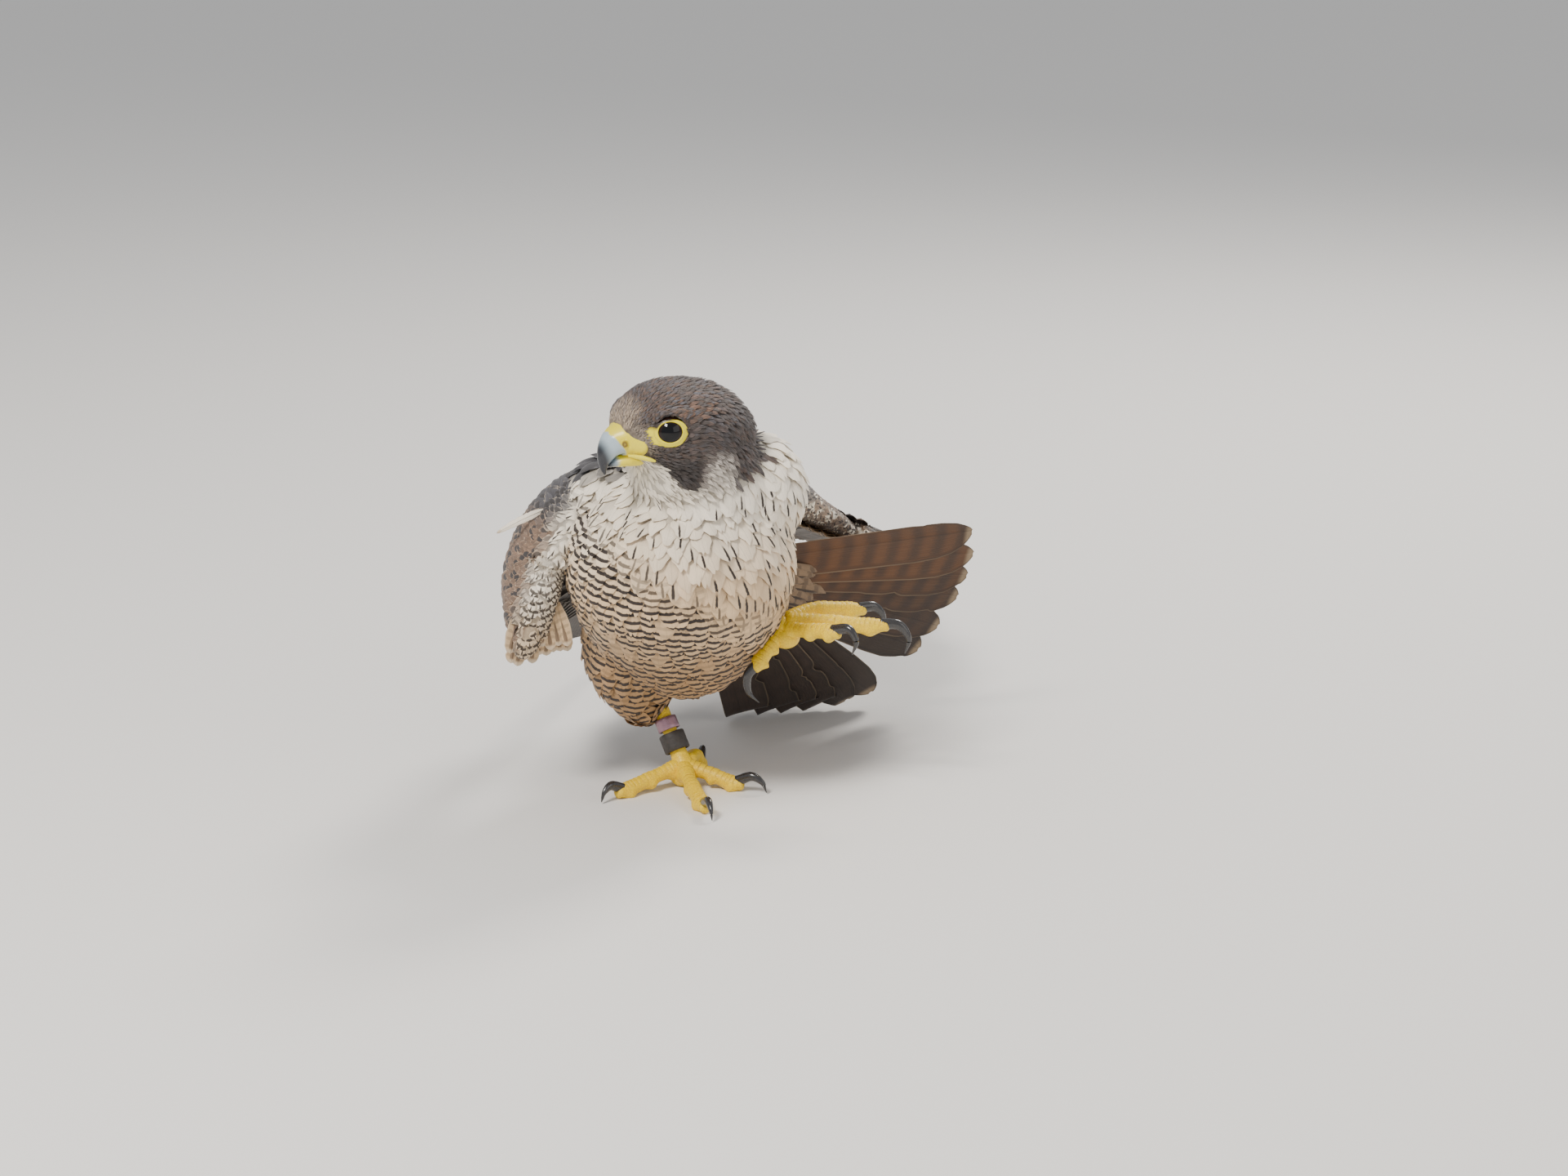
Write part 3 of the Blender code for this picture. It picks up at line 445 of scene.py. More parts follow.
# %% [markdown]
# ## The markings
#
# Skin and feathers carry the same markings, so both ask this one function. It gives the
# ground colour, the colour of the dark marks and how much of each kind of mark there is:
# a streak along the shaft, bars across, or a dark middle with a pale fringe.

# %% Colours of the plumage
WHITE = paint_colour(246, 236, 218)
CREAM = paint_colour(222, 190, 148)
BUFF = paint_colour(168, 129, 84)
SLATE = paint_colour(86, 84, 88)
HOOD = paint_colour(63, 56, 54)
CROWN = paint_colour(98, 88, 83)
BLUISH = paint_colour(104, 102, 108)
RUFOUS = paint_colour(132, 98, 76)
CHEEK = paint_colour(196, 186, 176)
MARK = paint_colour(42, 31, 25)


def lottery(points, step):
    """A number from 0 to 1 for each point, which jumps about from feather to feather."""
    wave = np.sin((points / CM) @ np.array((127.1, 311.7, 74.7)) * step) * 43758.5453
    return wave - np.floor(wave)


def headness(points):
    """1 on the head and 0 from the middle of the neck on, by an oval round the head."""
    f, l, u = in_head(points).T
    oval = np.sqrt(((f + 0.5) / 4.1) ** 2 + (l / 3.2) ** 2 + (u / 3.1) ** 2)
    return ease(1.32, 1.04, oval)


def dorsal(points, normals):
    """1 on the back and 0 on the breast, by which way the surface faces."""
    x, y, z = (points / CM).T
    up_facing = normals @ unit((0.0, 0.66, 0.75))
    side_facing = normals @ unit((-0.15, 0.95, 0.30))
    left_neck = ease(0.0, 2.5, x) * ease(14.0, 16.0, z)
    facing = between(up_facing, side_facing - 0.25, left_neck)
    return ease(0.25, 0.55, facing + 0.1 * ripple(points, 0.02, 3)) * ease(-8.0, -3.0, y)


def markings(points, normals):
    """Ground colour, mark colour and amounts of streak, bar and spot at each point."""
    x, y, z = (points / CM).T
    f, l, u = in_head(points).T
    wave = ripple(points, 0.03, 5)
    chance, other = lottery(points, 1.0), lottery(points, 2.3)
    head = headness(points)
    back = dorsal(points, normals)
    warm = ease(18.5, 12.5, z + 0.4 * wave)
    ground = between(between(WHITE, CREAM, warm), BUFF, ease(13.0, 7.0, z + 0.5 * wave) * 0.9)
    ground = ground * (0.88 + 0.14 * chance)[:, None]
    ink = np.tile(MARK, (len(points), 1))
    # bars start high on the right flank, low on the left one; few streaks above them
    height = np.interp(x, (-6.5, -5.5, -4, -2, 0, 2, 4, 6), (19.0, 18.2, 16.6, 14.6, 13.5,
                                                           12.6, 12.0, 11.6))
    bar = ease(0.9, -0.9, z - height + 0.5 * wave)
    often = np.interp(x, (-6, -3, 0, 3, 6), (0.6, 0.34, 0.26, 0.42, 0.5))
    often = often * ease(20.0, 17.5, z) + 0.45 * ease(1.8, 0.2, z - height)
    streak = (chance < often) * (1 - bar) * ease(20.5, 19.0, z)
    bar = bar * np.where(other < 0.10, 0.25, 1.0)
    # the face: hood, moustache, white throat and grey cheek
    turn = np.degrees(np.arctan2(np.abs(l), f + 0.3))
    drop = u + 0.18 * ripple(points, 0.010, 8) + 0.10 * (chance - 0.5)
    hood_edge = np.interp(turn, (0, 22, 32, 46, 60, 75, 88, 96, 104, 120, 128, 138, 155, 180),
                          (-0.9, -0.95, -1.15, -2.0, -2.55, -2.85, -2.75, -2.4, -1.5, -1.4, -2.2,
                           -3.6, -4.6, -5.2))
    hood = ease(-0.16, 0.16, drop - hood_edge) * ease(0.18, 0.32, head)
    cheek = ease(86, 98, turn) * ease(136, 124, turn) * ease(-0.5, -1.5, drop) * hood
    cheek = np.maximum(cheek, ease(88, 100, turn) * ease(138, 126, turn) * ease(-3.4, -2.9, drop)
                       * head * (1 - hood) * 0.8)
    forehead = ease(2.2, 2.9, f) * ease(-0.1, 0.5, u) * ease(1.7, 0.9, np.abs(l))
    lore = ease(1.9, 2.5, f) * ease(0.9, 1.4, np.abs(l)) * ease(-1.2, -0.5, u) * ease(0.9, 0.3, u)
    crown = ease(0.3, 1.6, u) * ease(-3.4, -1.0, f)
    brow = ease(0.5, 1.3, u) * ease(2.2, 1.3, u) * ease(-1.8, -0.2, f) * ease(1.7, 0.6, f)
    dark = between(HOOD, CROWN, 0.25 + 0.6 * crown)
    dark = between(dark, BLUISH, ease(0.52, 0.74, chance) * (0.35 + 0.45 * crown))
    dark = between(dark, RUFOUS, ease(0.50, 0.8, other) * (0.20 + 0.25 * crown + 0.45 * brow))
    dark = between(dark, HOOD * 0.55, ease(-0.9, -1.7, drop) * ease(96, 84, turn) * 0.75)
    dark = between(dark, paint_colour(206, 184, 160), forehead * (0.2 + 0.7 * other))
    dark = between(dark, paint_colour(176, 160, 142), lore * (0.3 + 0.6 * other))
    ground = between(ground, SLATE, back)
    ground = between(ground, dark, hood)
    ground = between(ground, between(CHEEK, HOOD, np.clip(1.5 * other - 0.75, 0, 1)), cheek)
    bar = bar * (1 - back) * (1 - hood)
    streak = np.maximum(streak * (1 - back) * (1 - hood) * (1 - cheek), hood * 0.75)
    ink = between(ink, paint_colour(44, 42, 44), back)
    ink = between(ink, paint_colour(38, 31, 29), hood)
    return ground, ink, np.stack([streak, bar, back * 0.75], 1)


# %% [markdown]
# ## The skin
#
# Torso, neck, head and thighs are separate solids with thin gaps. A copy of them is
# joined, remeshed in small cubes so that the gaps close, smoothed, and drawn in by the
# depth of the coat, so that the tips of the feathers end where the solids do.

# %% One skin over the flesh
FLESH = ("torso", "neck", "head", "thigh_right", "thigh_left")


def flesh_copy(names, grow):
    """The named solids in one mesh, each a little swollen along its normals."""
    whole = bmesh.new()
    for name in names:
        part = bmesh.new()
        part.from_mesh(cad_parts[name].data)
        bmesh.ops.remove_doubles(part, verts=part.verts, dist=1e-6)
        part.normal_update()
        for vertex, move in [(v, v.normal * grow) for v in part.verts]:
            vertex.co += move
        mesh = bpy.data.meshes.new("part")
        part.to_mesh(mesh)
        part.free()
        whole.from_mesh(mesh)
    made = bpy.data.meshes.new("flesh")
    whole.to_mesh(made)
    whole.free()
    return made


def remeshed(mesh, voxel, rounds):
    """The outer surface rebuilt in cubes of the given size, then smoothed."""
    thing = bpy.data.objects.new("work", mesh)
    bpy.context.scene.collection.objects.link(thing)
    change = thing.modifiers.new("remesh", "REMESH")
    change.mode = "VOXEL"
    change.voxel_size = voxel
    soften = thing.modifiers.new("smooth", "SMOOTH")
    soften.factor = 0.5
    soften.iterations = rounds
    made = bpy.data.meshes.new_from_object(
        thing.evaluated_get(bpy.context.evaluated_depsgraph_get()))
    bpy.data.objects.remove(thing)
    bm = bmesh.new()
    bm.from_mesh(made)
    bmesh.ops.triangulate(bm, faces=bm.faces)
    bm.to_mesh(made)
    bm.free()
    return made


def arrays_of(mesh):
    """Points, normals and triangles of a triangulated mesh."""
    points = np.zeros(len(mesh.vertices) * 3)
    mesh.vertices.foreach_get("co", points)
    normals = np.zeros(len(mesh.vertices) * 3)
    mesh.vertex_normals.foreach_get("vector", normals)
    triangles = np.zeros(len(mesh.polygons) * 3, int)
    mesh.loops.foreach_get("vertex_index", triangles)
    return points.reshape(-1, 3), normals.reshape(-1, 3), triangles.reshape(-1, 3)


def coat_depth(points):
    """How far the feather tips stand off the skin: thin on the face, deep on the trunk."""
    f, l, u = in_head(points).T
    face = ease(-1.5, 2.0, f) * headness(points)
    depth = between(3.6 * MM, 1.8 * MM, headness(points))
    return between(depth, 0.7 * MM, face)


skin_mesh = remeshed(flesh_copy(FLESH, 0.35 * MM), 1.8 * MM, 14)
skin_points, skin_normals, skin_triangles = arrays_of(skin_mesh)
skin_points = skin_points - skin_normals * coat_depth(skin_points)[:, None]
print("skin", len(skin_triangles), "triangles")


# %% [markdown]
# ## Unwrapping the skin
#
# The baked look needs a flat map. The skin is unwrapped by its own shape, and every
# small feather then takes a tiny patch at the place of its root on that map.


# %% A flat map of a skin
def unwrapped(name, points, triangles):
    """A mesh with a map called OFBake, cut where the surface turns sharply."""
    mesh = mesh_of(name, points, triangles, sharp=180)
    mesh.uv_layers.new(name="OFBake")
    thing = bpy.data.objects.new(name, mesh)
    bpy.context.scene.collection.objects.link(thing)
    bpy.context.view_layer.objects.active = thing
    thing.select_set(True)
    bpy.ops.object.mode_set(mode="EDIT")
    bpy.ops.mesh.select_all(action="SELECT")
    bpy.ops.uv.smart_project(angle_limit=math.radians(66), island_margin=0.004)
    bpy.ops.object.mode_set(mode="OBJECT")
    bpy.data.objects.remove(thing)
    corner = np.zeros(len(mesh.loops) * 2)
    mesh.uv_layers["OFBake"].data.foreach_get("uv", corner)
    return mesh, corner.reshape(-1, 3, 2)


# %% [markdown]
# ## The coat
#
# Small feathers overlap like tiles. Each starts on the skin, follows it for its length
# and lifts a little towards its tip, so the one nearer the head always lies on top. The
# roots are spread evenly: random points are kept only if none stands too near.


# %% Spreading the roots
def spread(points, triangles, spacing, seed):
    """Root places on a surface: corner shares and triangle numbers.

    Triangles are drawn in proportion to their area over the spacing squared, and a point
    is kept where no kept one is nearer than the spacing there.
    """
    draw = np.random.default_rng(seed)
    a, b, c = (points[triangles[:, k]] for k in range(3))
    area = np.linalg.norm(np.cross(b - a, c - a), axis=1) / 2
    gap = spacing((a + b + c) / 3)
    weight = area / gap ** 2
    count = int(weight.sum() * 3.2)
    chosen = draw.choice(len(triangles), count, p=weight / weight.sum())
    s, t = draw.random((2, count))
    s, t = np.where(s + t > 1, 1 - s, s), np.where(s + t > 1, 1 - t, t)
    place = a[chosen] + (b - a)[chosen] * s[:, None] + (c - a)[chosen] * t[:, None]
    keep = thinned(place, gap[chosen])
    shares = np.stack([1 - s - t, s, t], 1)
    return place[keep], chosen[keep], shares[keep]


def thinned(place, gap):
    """Indices of points that keep their distance, found with a grid of cells."""
    cell = gap.max()
    boxes = {}
    kept = []
    keys = np.floor(place / cell).astype(int)
    around = [(i, j, k) for i in (-1, 0, 1) for j in (-1, 0, 1) for k in (-1, 0, 1)]
    spots = place.tolist()
    for number, (key, spot, near) in enumerate(zip(keys.tolist(), spots, gap.tolist())):
        limit = near * near
        free = True
        for i, j, k in around:
            for other in boxes.get((key[0] + i, key[1] + j, key[2] + k), ()):
                if ((spot[0] - other[0]) ** 2 + (spot[1] - other[1]) ** 2
                        + (spot[2] - other[2]) ** 2) < limit:
                    free = False
                    break
            if not free:
                break
        if free:
            boxes.setdefault(tuple(key), []).append(spot)
            kept.append(number)
    return np.array(kept)


# %% Blades of small feathers
def blade_faces(rows, columns):
    """Triangles of one closed blade: a sheet of points above and a keel below it."""
    faces = []
    width = columns
    keel = (rows + 1) * columns

    def quad(a, b, c, d):
        faces.append((a, b, c))
        faces.append((a, c, d))

    for r in range(rows):
        for c in range(columns - 1):
            a = r * width + c
            quad(a, a + 1, a + width + 1, a + width)
        quad(r * width, (r + 1) * width, keel + r + 1, keel + r)
        quad(r * width + width - 1, keel + r, keel + r + 1, (r + 1) * width + width - 1)
    for c in range(columns - 1):
        faces.append((c + 1, c, keel))
        faces.append((rows * width + c, rows * width + c + 1, keel + rows))
    return np.array(faces)


def blades(root, middle, tip, normals, width, draw, rows, columns, cup, fray, thick):
    """Points, triangles and blade values of many small feathers at once.

    The shaft is the curve through root, middle and tip. The width grows to its full
    size by two fifths of the way and narrows to the tip, the edges bend down by cup,
    and each barb column ends at its own random length, which frays the tip.
    """
    count = len(root)
    t = np.linspace(0, 1, rows + 1)[None, :, None]
    v = np.linspace(-1, 1, columns)[None, None, :]
    reach = 1 - 0.20 * np.abs(v) ** 2.2 - fray * draw.random((count, 1, columns))
    s = (t * reach)[..., None]
    a, b, c = (p[:, None, None] for p in (root, middle, tip))
    place = a * (1 - s) * (1 - 2 * s) + 4 * b * s * (1 - s) + c * s * (2 * s - 1)
    tangent = unit(a * (4 * s - 3) + b * (4 - 8 * s) + c * (4 * s - 1))
    normal = normals[0][:, None, None] * (1 - s) + normals[1][:, None, None] * s
    side = unit(np.cross(tangent, normal))
    normal = np.cross(side, tangent)
    shape = (0.30 + 0.70 * ease(0, 0.42, t)) * (1 - 0.42 * ease(0.62, 1.0, t))
    half = (width[:, None, None] / 2 * shape)[..., None]
    across = v[..., None] * np.ones_like(half)
    sheet = place + side * (across * half) - normal * (cup * across ** 2 * half)
    mid = columns // 2
    keel = sheet[:, :, mid] - normal[:, :, mid] * thick[:, None, None]
    points = np.concatenate([sheet.reshape(count, -1, 3), keel], 1)
    along = np.concatenate([(t * reach).reshape(count, -1), (t * reach)[:, :, mid]], 1)
    sideways = np.concatenate([np.tile(np.tile(v[0, 0], rows + 1), (count, 1)),
                               np.zeros((count, rows + 1))], 1)
    faces = blade_faces(rows, columns)
    each = points.shape[1]
    triangles = faces[None] + (np.arange(count) * each)[:, None, None]
    return points, triangles.reshape(-1, 3), along, sideways


# %% [markdown]
# ## The lie of the coat
#
# On the face the feathers spread out from the bill. On the neck and breast they hang
# down, and under the belly and over the back they point to the tail.

# %% Direction, size and spacing of the coat
BILL_BASE = head_point(3.3, 0, -0.6)
TO_TAIL = unit((0.10, 0.90, -0.36))
THIGH_RIGHT = unit((0.10, 0.12, -1.0))
THIGH_LEFT = unit((0.75, -0.35, -0.1))


def lie(points, normals):
    """The way the feathers point: from the bill on the head, down and back elsewhere."""
    x, y, z = (points / CM).T
    head = headness(points)
    back = dorsal(points, normals)
    down = np.tile((0.0, 0.05, -1.0), (len(points), 1))
    under = ease(0.35, -0.55, normals[:, 2])
    flank = between(down, TO_TAIL, np.clip(0.32 + 0.35 * under * ease(12, 9, z), 0, 1))
    trunk = between(flank, TO_TAIL, back)
    neck = between(down, unit((0.0, 0.5, -0.85)), ease(-0.2, 0.6, normals[:, 1]))
    flow = between(trunk, neck, ease(15.5, 17.5, z))
    f, l, u = in_head(points).T
    behind = ease(70, 140, np.degrees(np.arctan2(np.abs(l), f + 0.3)))
    face = unit(points - BILL_BASE) + np.outer(behind, (0.0, 0.1, -1.1))
    flow = between(flow, unit(face), ease(0.0, 0.5, head))
    flow = between(flow, THIGH_RIGHT, ease(8.0, 6.5, z) * ease(0.5, -0.5, x))
    flow = flow - normals * (flow * normals).sum(1)[:, None]
    return unit(flow)


def feather_length(points):
    """Length of a feather: half a centimetre on the face, two on the flanks."""
    x, y, z = (points / CM).T
    f, l, u = in_head(points).T
    head = headness(points)
    turn = np.degrees(np.arctan2(np.abs(l), f + 0.3))
    throat = ease(46, 34, turn) * ease(-1.0, -1.7, u)
    face = ease(0.0, 2.4, f) * (1 - throat)
    length = between(18.0 * MM, 15.0 * MM, ease(13.0, 17.0, z))
    length = between(length, 24.0 * MM, ease(6.5, 4.6, z) * ease(1.0, -0.5, x))
    length = between(length, between(6.2 * MM, 10.0 * MM, throat), ease(0.0, 0.8, head))
    return between(length, 3.2 * MM, face * ease(0.3, 0.9, head))


def root_gap(points):
    """Distance between roots, as a share of the length of the feathers there."""
    return feather_length(points) * between(0.30, 0.266, headness(points))


def coat(name, points, normals, triangles, uv_corner, paint, lie_of, length_of, gap_of,
         marks_of, depth_of, seed, keep=None, nodes=(), fine=False):
    """One piece of coat over a surface, with its markings and its patches on the map."""
    draw = np.random.default_rng(seed)
    root, face, shares = spread(points, triangles, gap_of, seed)
    normal = unit((normals[triangles[face]] * shares[..., None]).sum(1))
    uv = (uv_corner[face] * shares[..., None]).sum(1)
    if keep is not None:
        kept = keep(root, normal)
        root, face, normal, uv = root[kept], face[kept], normal[kept], uv[kept]
    flow = lie_of(root, normal)
    side = np.cross(flow, normal)
    sway = draw.normal(0, 0.10, len(root))[:, None]
    flow = unit(flow + side * sway)
    length = length_of(root) * draw.uniform(0.86, 1.14, len(root))
    depth = depth_of(root) * draw.uniform(0.85, 1.15, len(root))
    tree = BVHTree.FromPolygons(points.tolist(), triangles.tolist())
    middle, middle_normal = on_surface(tree, root + flow * length[:, None] * 0.5)
    tip, tip_normal = on_surface(tree, middle + (middle - root) * 1.0)
    width = length * draw.uniform(0.62, 0.78, len(root)) * (0.52 if fine else 1.0)
    rows, columns = (4, 5) if fine else (6, 7)
    points_made, made, along, across = blades(
        root - normal * 0.3 * MM, middle + middle_normal * depth[:, None] * 0.58,
        tip + tip_normal * depth[:, None], (normal, tip_normal), width, draw, rows, columns,
        0.20, 0.24, np.minimum(length * 0.02, 0.25 * MM))
    each = points_made.shape[1]
    ground, ink, marks = marks_of(root, normal)
    tone = draw.random(len(root))
    value = {
        "ground": np.repeat(ground, each, 0), "ink": np.repeat(ink, each, 0),
        "marks": np.repeat(marks, each, 0),
        "blade": np.stack([along.ravel(), across.ravel(), np.repeat(tone, each)], 1),
        "place": (np.repeat((root @ BAR_WAY) / CM, each)
                  + (along * (length / CM)[:, None]).ravel())}
    patch = np.stack([across * 0.5, along - 0.5], -1) * 0.003 + uv[:, None]
    mesh = mesh_of(name, points_made, made, value, patch, sharp=60)
    return show(name, mesh, paint, nodes)


def on_surface(tree, places):
    """The nearest points of a surface to the given ones, and its normals there."""
    found = [tree.find_nearest(Vector(place)) for place in places.tolist()]
    return np.array([hit[0] for hit in found]), np.array([hit[1] for hit in found])


BAR_WAY = unit((0.0, 0.42, -0.9))


# %% [markdown]
# ## Paint for feathers
#
# A feather is drawn from how far along and across it a point lies. Fine streaks of
# noise stretched along the shaft stand for the barbs.


# %% Feather paints
def feather_paint(name, bar_step, bar_share, tip=None, soft=0.06, streak_width=0.09,
                  fade=0.0, rim=0.03, shift=0.22, core=0.86):
    """Ground, shaft streak, bars and dark middle, from the values on the mesh, with painted shade near
    the root.
    """
    paint = Paint(name, Roughness=0.68, Sheen_Weight=0.12, Sheen_Roughness=0.5)
    along, across, tone = paint.parts(paint.attribute("blade"))
    streak, bar, spot = paint.parts(paint.attribute("marks"))
    place = paint.attribute("place", "Fac")
    edge = abs(across)
    barb_place = paint.add("CombineXYZ", None, {0: along * 5 + edge * 4, 1: across * 22,
                                                2: tone * 40})
    barbs = paint.add("TexNoise", None, {"Vector": barb_place, "Scale": 1.0, "Detail": 2.0})
    rough = paint.noise(1.4 * MM, 2.0)
    ragged = (rough - 0.5) * 0.35
    drop_width = along.ease(0.45, 0.86) * streak_width + 0.04
    drop = (edge + ragged * 0.4 - drop_width).ease(0.10, 0.0)
    drop = drop * along.ease(0.34, 0.5) * along.ease(0.96, 0.86) * streak
    phase = place / bar_step + edge * 0.16 + tone * shift + ragged * 0.35
    wave = phase.math("FRACT")
    narrow = (rough - 0.5) * 0.16
    bars = (wave + narrow).ease(0.5 - bar_share / 2 - soft, 0.5 - bar_share / 2 + soft)
    bars = bars * (wave - narrow).ease(0.5 + bar_share / 2 + soft, 0.5 + bar_share / 2 - soft)
    bars = bars * edge.ease(1.0, 0.72) * bar
    middle = (edge + ragged).ease(core, core - 0.24) * (
        along + ragged * 0.5).ease(core + 0.08, core - 0.04) * spot
    mask = drop.math("MAXIMUM", bars).math("MAXIMUM", middle)
    colour = paint.mix(mask, paint.attribute("ground", "Color"), paint.attribute("ink", "Color"))
    if tip is not None:
        fringe = along.ease(0.995 - rim, 1.0 - rim * 0.3).math(
            "MAXIMUM", edge.ease(0.99 - rim * 2, 0.99) * 0.5)
        colour = paint.mix(fringe, colour, tip)
    shaft = edge.ease(0.055, 0.02) * 0.14
    # painted shade: every feather darkens towards its root, where the feather above would shade it
    light = (barbs - 0.5) * 0.36 + along.ease(0.0, 0.5) * 0.22 + 0.80 + (tone - 0.5) * 0.12
    light = light - along * fade - edge.ease(0.75, 0.95) * fade * 0.5
    paint.set("Base Color", paint.scale(colour, light - shaft))
    paint.bump(barbs, 0.25 * MM, 0.8)
    return paint


def skin_paint():
    """The ground under the feathers, darker, with the same markings."""
    paint = Paint("down", Roughness=0.9)
    paint.set("Base Color", paint.scale(paint.attribute("ground", "Color"),
                                        paint.noise(2 * MM) * 0.4 + 0.35))
    paint.bump(paint.noise(1.5 * MM), 0.6 * MM)
    return paint


coat_paint = feather_paint("body_feathers", 0.46, 0.43, soft=0.05)
down_paint = skin_paint()

# %% Skin and coat of the body
skin, skin_corner = unwrapped("skin", skin_points, skin_triangles)
skin_points, skin_normals, skin_triangles = arrays_of(skin)
ground, ink, marks = markings(skin_points, skin_normals)
add_values(skin, {"ground": ground})
show("skin", skin, down_paint, FLESH)


def bare(points):
    """Roots that would grow on the bill, the eyes or the bare ring round them."""
    f, l, u = in_head(points).T
    line = np.interp(u, (-2.2, -1.6, -1.2, -0.8, -0.4, 0.0, 0.3, 0.8),
                     (3.0, 2.9, 2.3, 2.3, 2.5, 2.72, 2.95, 3.25))
    clear = f > line
    for side in (1, -1):
        away = points - eye_centre(side)
        front, up = eye_axes(side)
        across, high = away @ front / MM, away @ up / MM
        turn = np.degrees(np.arctan2(high, across))
        clear |= (np.hypot(across, high) < eye_reach(turn) - 0.7) & (away @ eye_look(side) > 0)
    return clear


def on_head(points, normals):
    """Roots on the head whose feathers neither start nor end on bare skin."""
    ends = points + lie(points, normals) * (feather_length(points) * 0.8)[:, None]
    f, l, u = in_head(points).T
    before = (f > 0.8) & (f < 2.3)
    return ~bare(points) & ~(bare(ends) & before) & (headness(points) > 0.25)


def on_trunk(points, normals):
    return headness(points) <= 0.25


coat("coat_head", skin_points, skin_normals, skin_triangles, skin_corner, coat_paint, lie,
     feather_length, root_gap, markings, coat_depth, 21, on_head, fine=True)
coat("coat_body", skin_points, skin_normals, skin_triangles, skin_corner, coat_paint, lie,
     feather_length, root_gap, markings, coat_depth, 22, on_trunk)

# %% [markdown]
# ## Long feathers
#
# Wings and tail are built feather by feather. A long feather has a narrow outer vane, a
# broad inner one and a raised shaft, and its edges split a little where barbs part.

# %% Long feathers
BLUNT = np.array(((0.0, 0.30), (0.12, 0.62), (0.30, 0.90), (0.78, 1.0), (0.87, 0.95),
                  (0.93, 0.80), (0.97, 0.56), (0.99, 0.34), (1.0, 0.12)))
POINTED = np.array(((0.0, 0.30), (0.12, 0.70), (0.28, 1.0), (0.62, 0.86), (0.85, 0.58),
                    (0.95, 0.36), (0.985, 0.22), (1.0, 0.07)))
COVERT = np.array(((0.0, 0.42), (0.30, 0.85), (0.55, 1.0), (0.84, 0.86), (0.94, 0.60),
                   (0.98, 0.40), (1.0, 0.12)))
COLUMNS = np.array((-1, -0.8, -0.55, -0.3, -0.06, 0, 0.06, 0.3, 0.55, 0.8, 1.0))


def axes_of(direction, up):
    """Side, direction and up of length one, square to one another."""
    direction = unit(direction)
    side = unit(np.cross(direction, up))
    return side, direction, unit(np.cross(side, direction))


def quill(base, direction, up, length, width, shape, draw, roll=0.0, droop=0.0, outer=0.5,
          outer_side=1.0, floor=None, rows=44, camber=0.06, splits=5, thick=0.55 * MM):
    """One long feather as a closed blade: points, triangles, along, across, way in metres.

    A point is the root plus forward times the way, minus droop times its square, plus
    the turned side times the half width there. Splits narrow one edge over a few
    millimetres, and the shaft stands out on both faces.
    """
    side, forward, high = axes_of(direction, up)
    turned_side = side * math.cos(roll) + high * math.sin(roll)
    normal = np.cross(turned_side, forward)
    t = 1 - (1 - np.linspace(0, 1, rows + 1)) ** 1.25
    centre = base + np.outer(t * length, forward) - np.outer(length * droop * t ** 2, high)
    if floor is not None:
        low = centre[:, 2] < floor
        centre[low, 2] = floor + (floor - centre[low, 2]) * 0.04
    half = np.interp(t, shape[:, 0], shape[:, 1]) * width
    v = COLUMNS[None]
    share = np.where(v * outer_side > 0, outer, 1 - outer)
    edge = np.ones((rows + 1, len(COLUMNS)))
    for _ in range(splits):
        place, depth, wide = draw.uniform(0.3, 1.0), draw.uniform(0.04, 0.15), draw.uniform(0.006, 0.014)
        chosen = np.sign(COLUMNS) == draw.choice((-1, 1))
        wide = np.where(t < place, 3.4 * wide, 0.6 * wide)
        edge -= np.exp(-((t - place) / wide) ** 2)[:, None] * depth * chosen[None]
    reach = v * share * half[:, None] * edge
    shaft = np.where(np.abs(v) < 0.03, 0.45 * MM, 0.0) * (1 - 0.8 * t[:, None])
    bend = camber * width * (1 - v ** 2)
    taper = thick / 2 * (1.15 - 0.5 * t[:, None]) * (1 - 0.6 * np.abs(v))
    middle = centre[:, None] + turned_side * reach[..., None]
    top = middle + normal * (bend + taper + shaft)[..., None]
    under = middle + normal * (bend - taper - shaft)[..., None]
    points = np.concatenate([top.reshape(-1, 3), under.reshape(-1, 3)])
    along = np.tile(np.repeat(t, len(COLUMNS)), 2)
    across = np.tile(np.tile(COLUMNS * outer_side, rows + 1), 2)
    return points, sheet_faces(rows, len(COLUMNS)), along, across, along * length


def sheet_faces(rows, columns):
    """Triangles of two like sheets, back to back, closed round their rim."""
    r, c = np.meshgrid(np.arange(rows), np.arange(columns - 1), indexing="ij")
    a = (r * columns + c).ravel()
    b, d = a + 1, a + columns
    e = d + 1
    other = (rows + 1) * columns
    top = np.concatenate([np.stack([a, b, e], 1), np.stack([a, e, d], 1)])
    under = top[:, ::-1] + other
    rim = np.concatenate([np.arange(columns - 1), np.arange(rows) * columns + columns - 1,
                          rows * columns + np.arange(columns - 1, 0, -1),
                          np.arange(rows, 0, -1) * columns])
    after = np.roll(rim, -1)
    side = np.concatenate([np.stack([after, rim, rim + other], 1),
                           np.stack([after, rim + other, after + other], 1)])
    return np.concatenate([top, under, side])


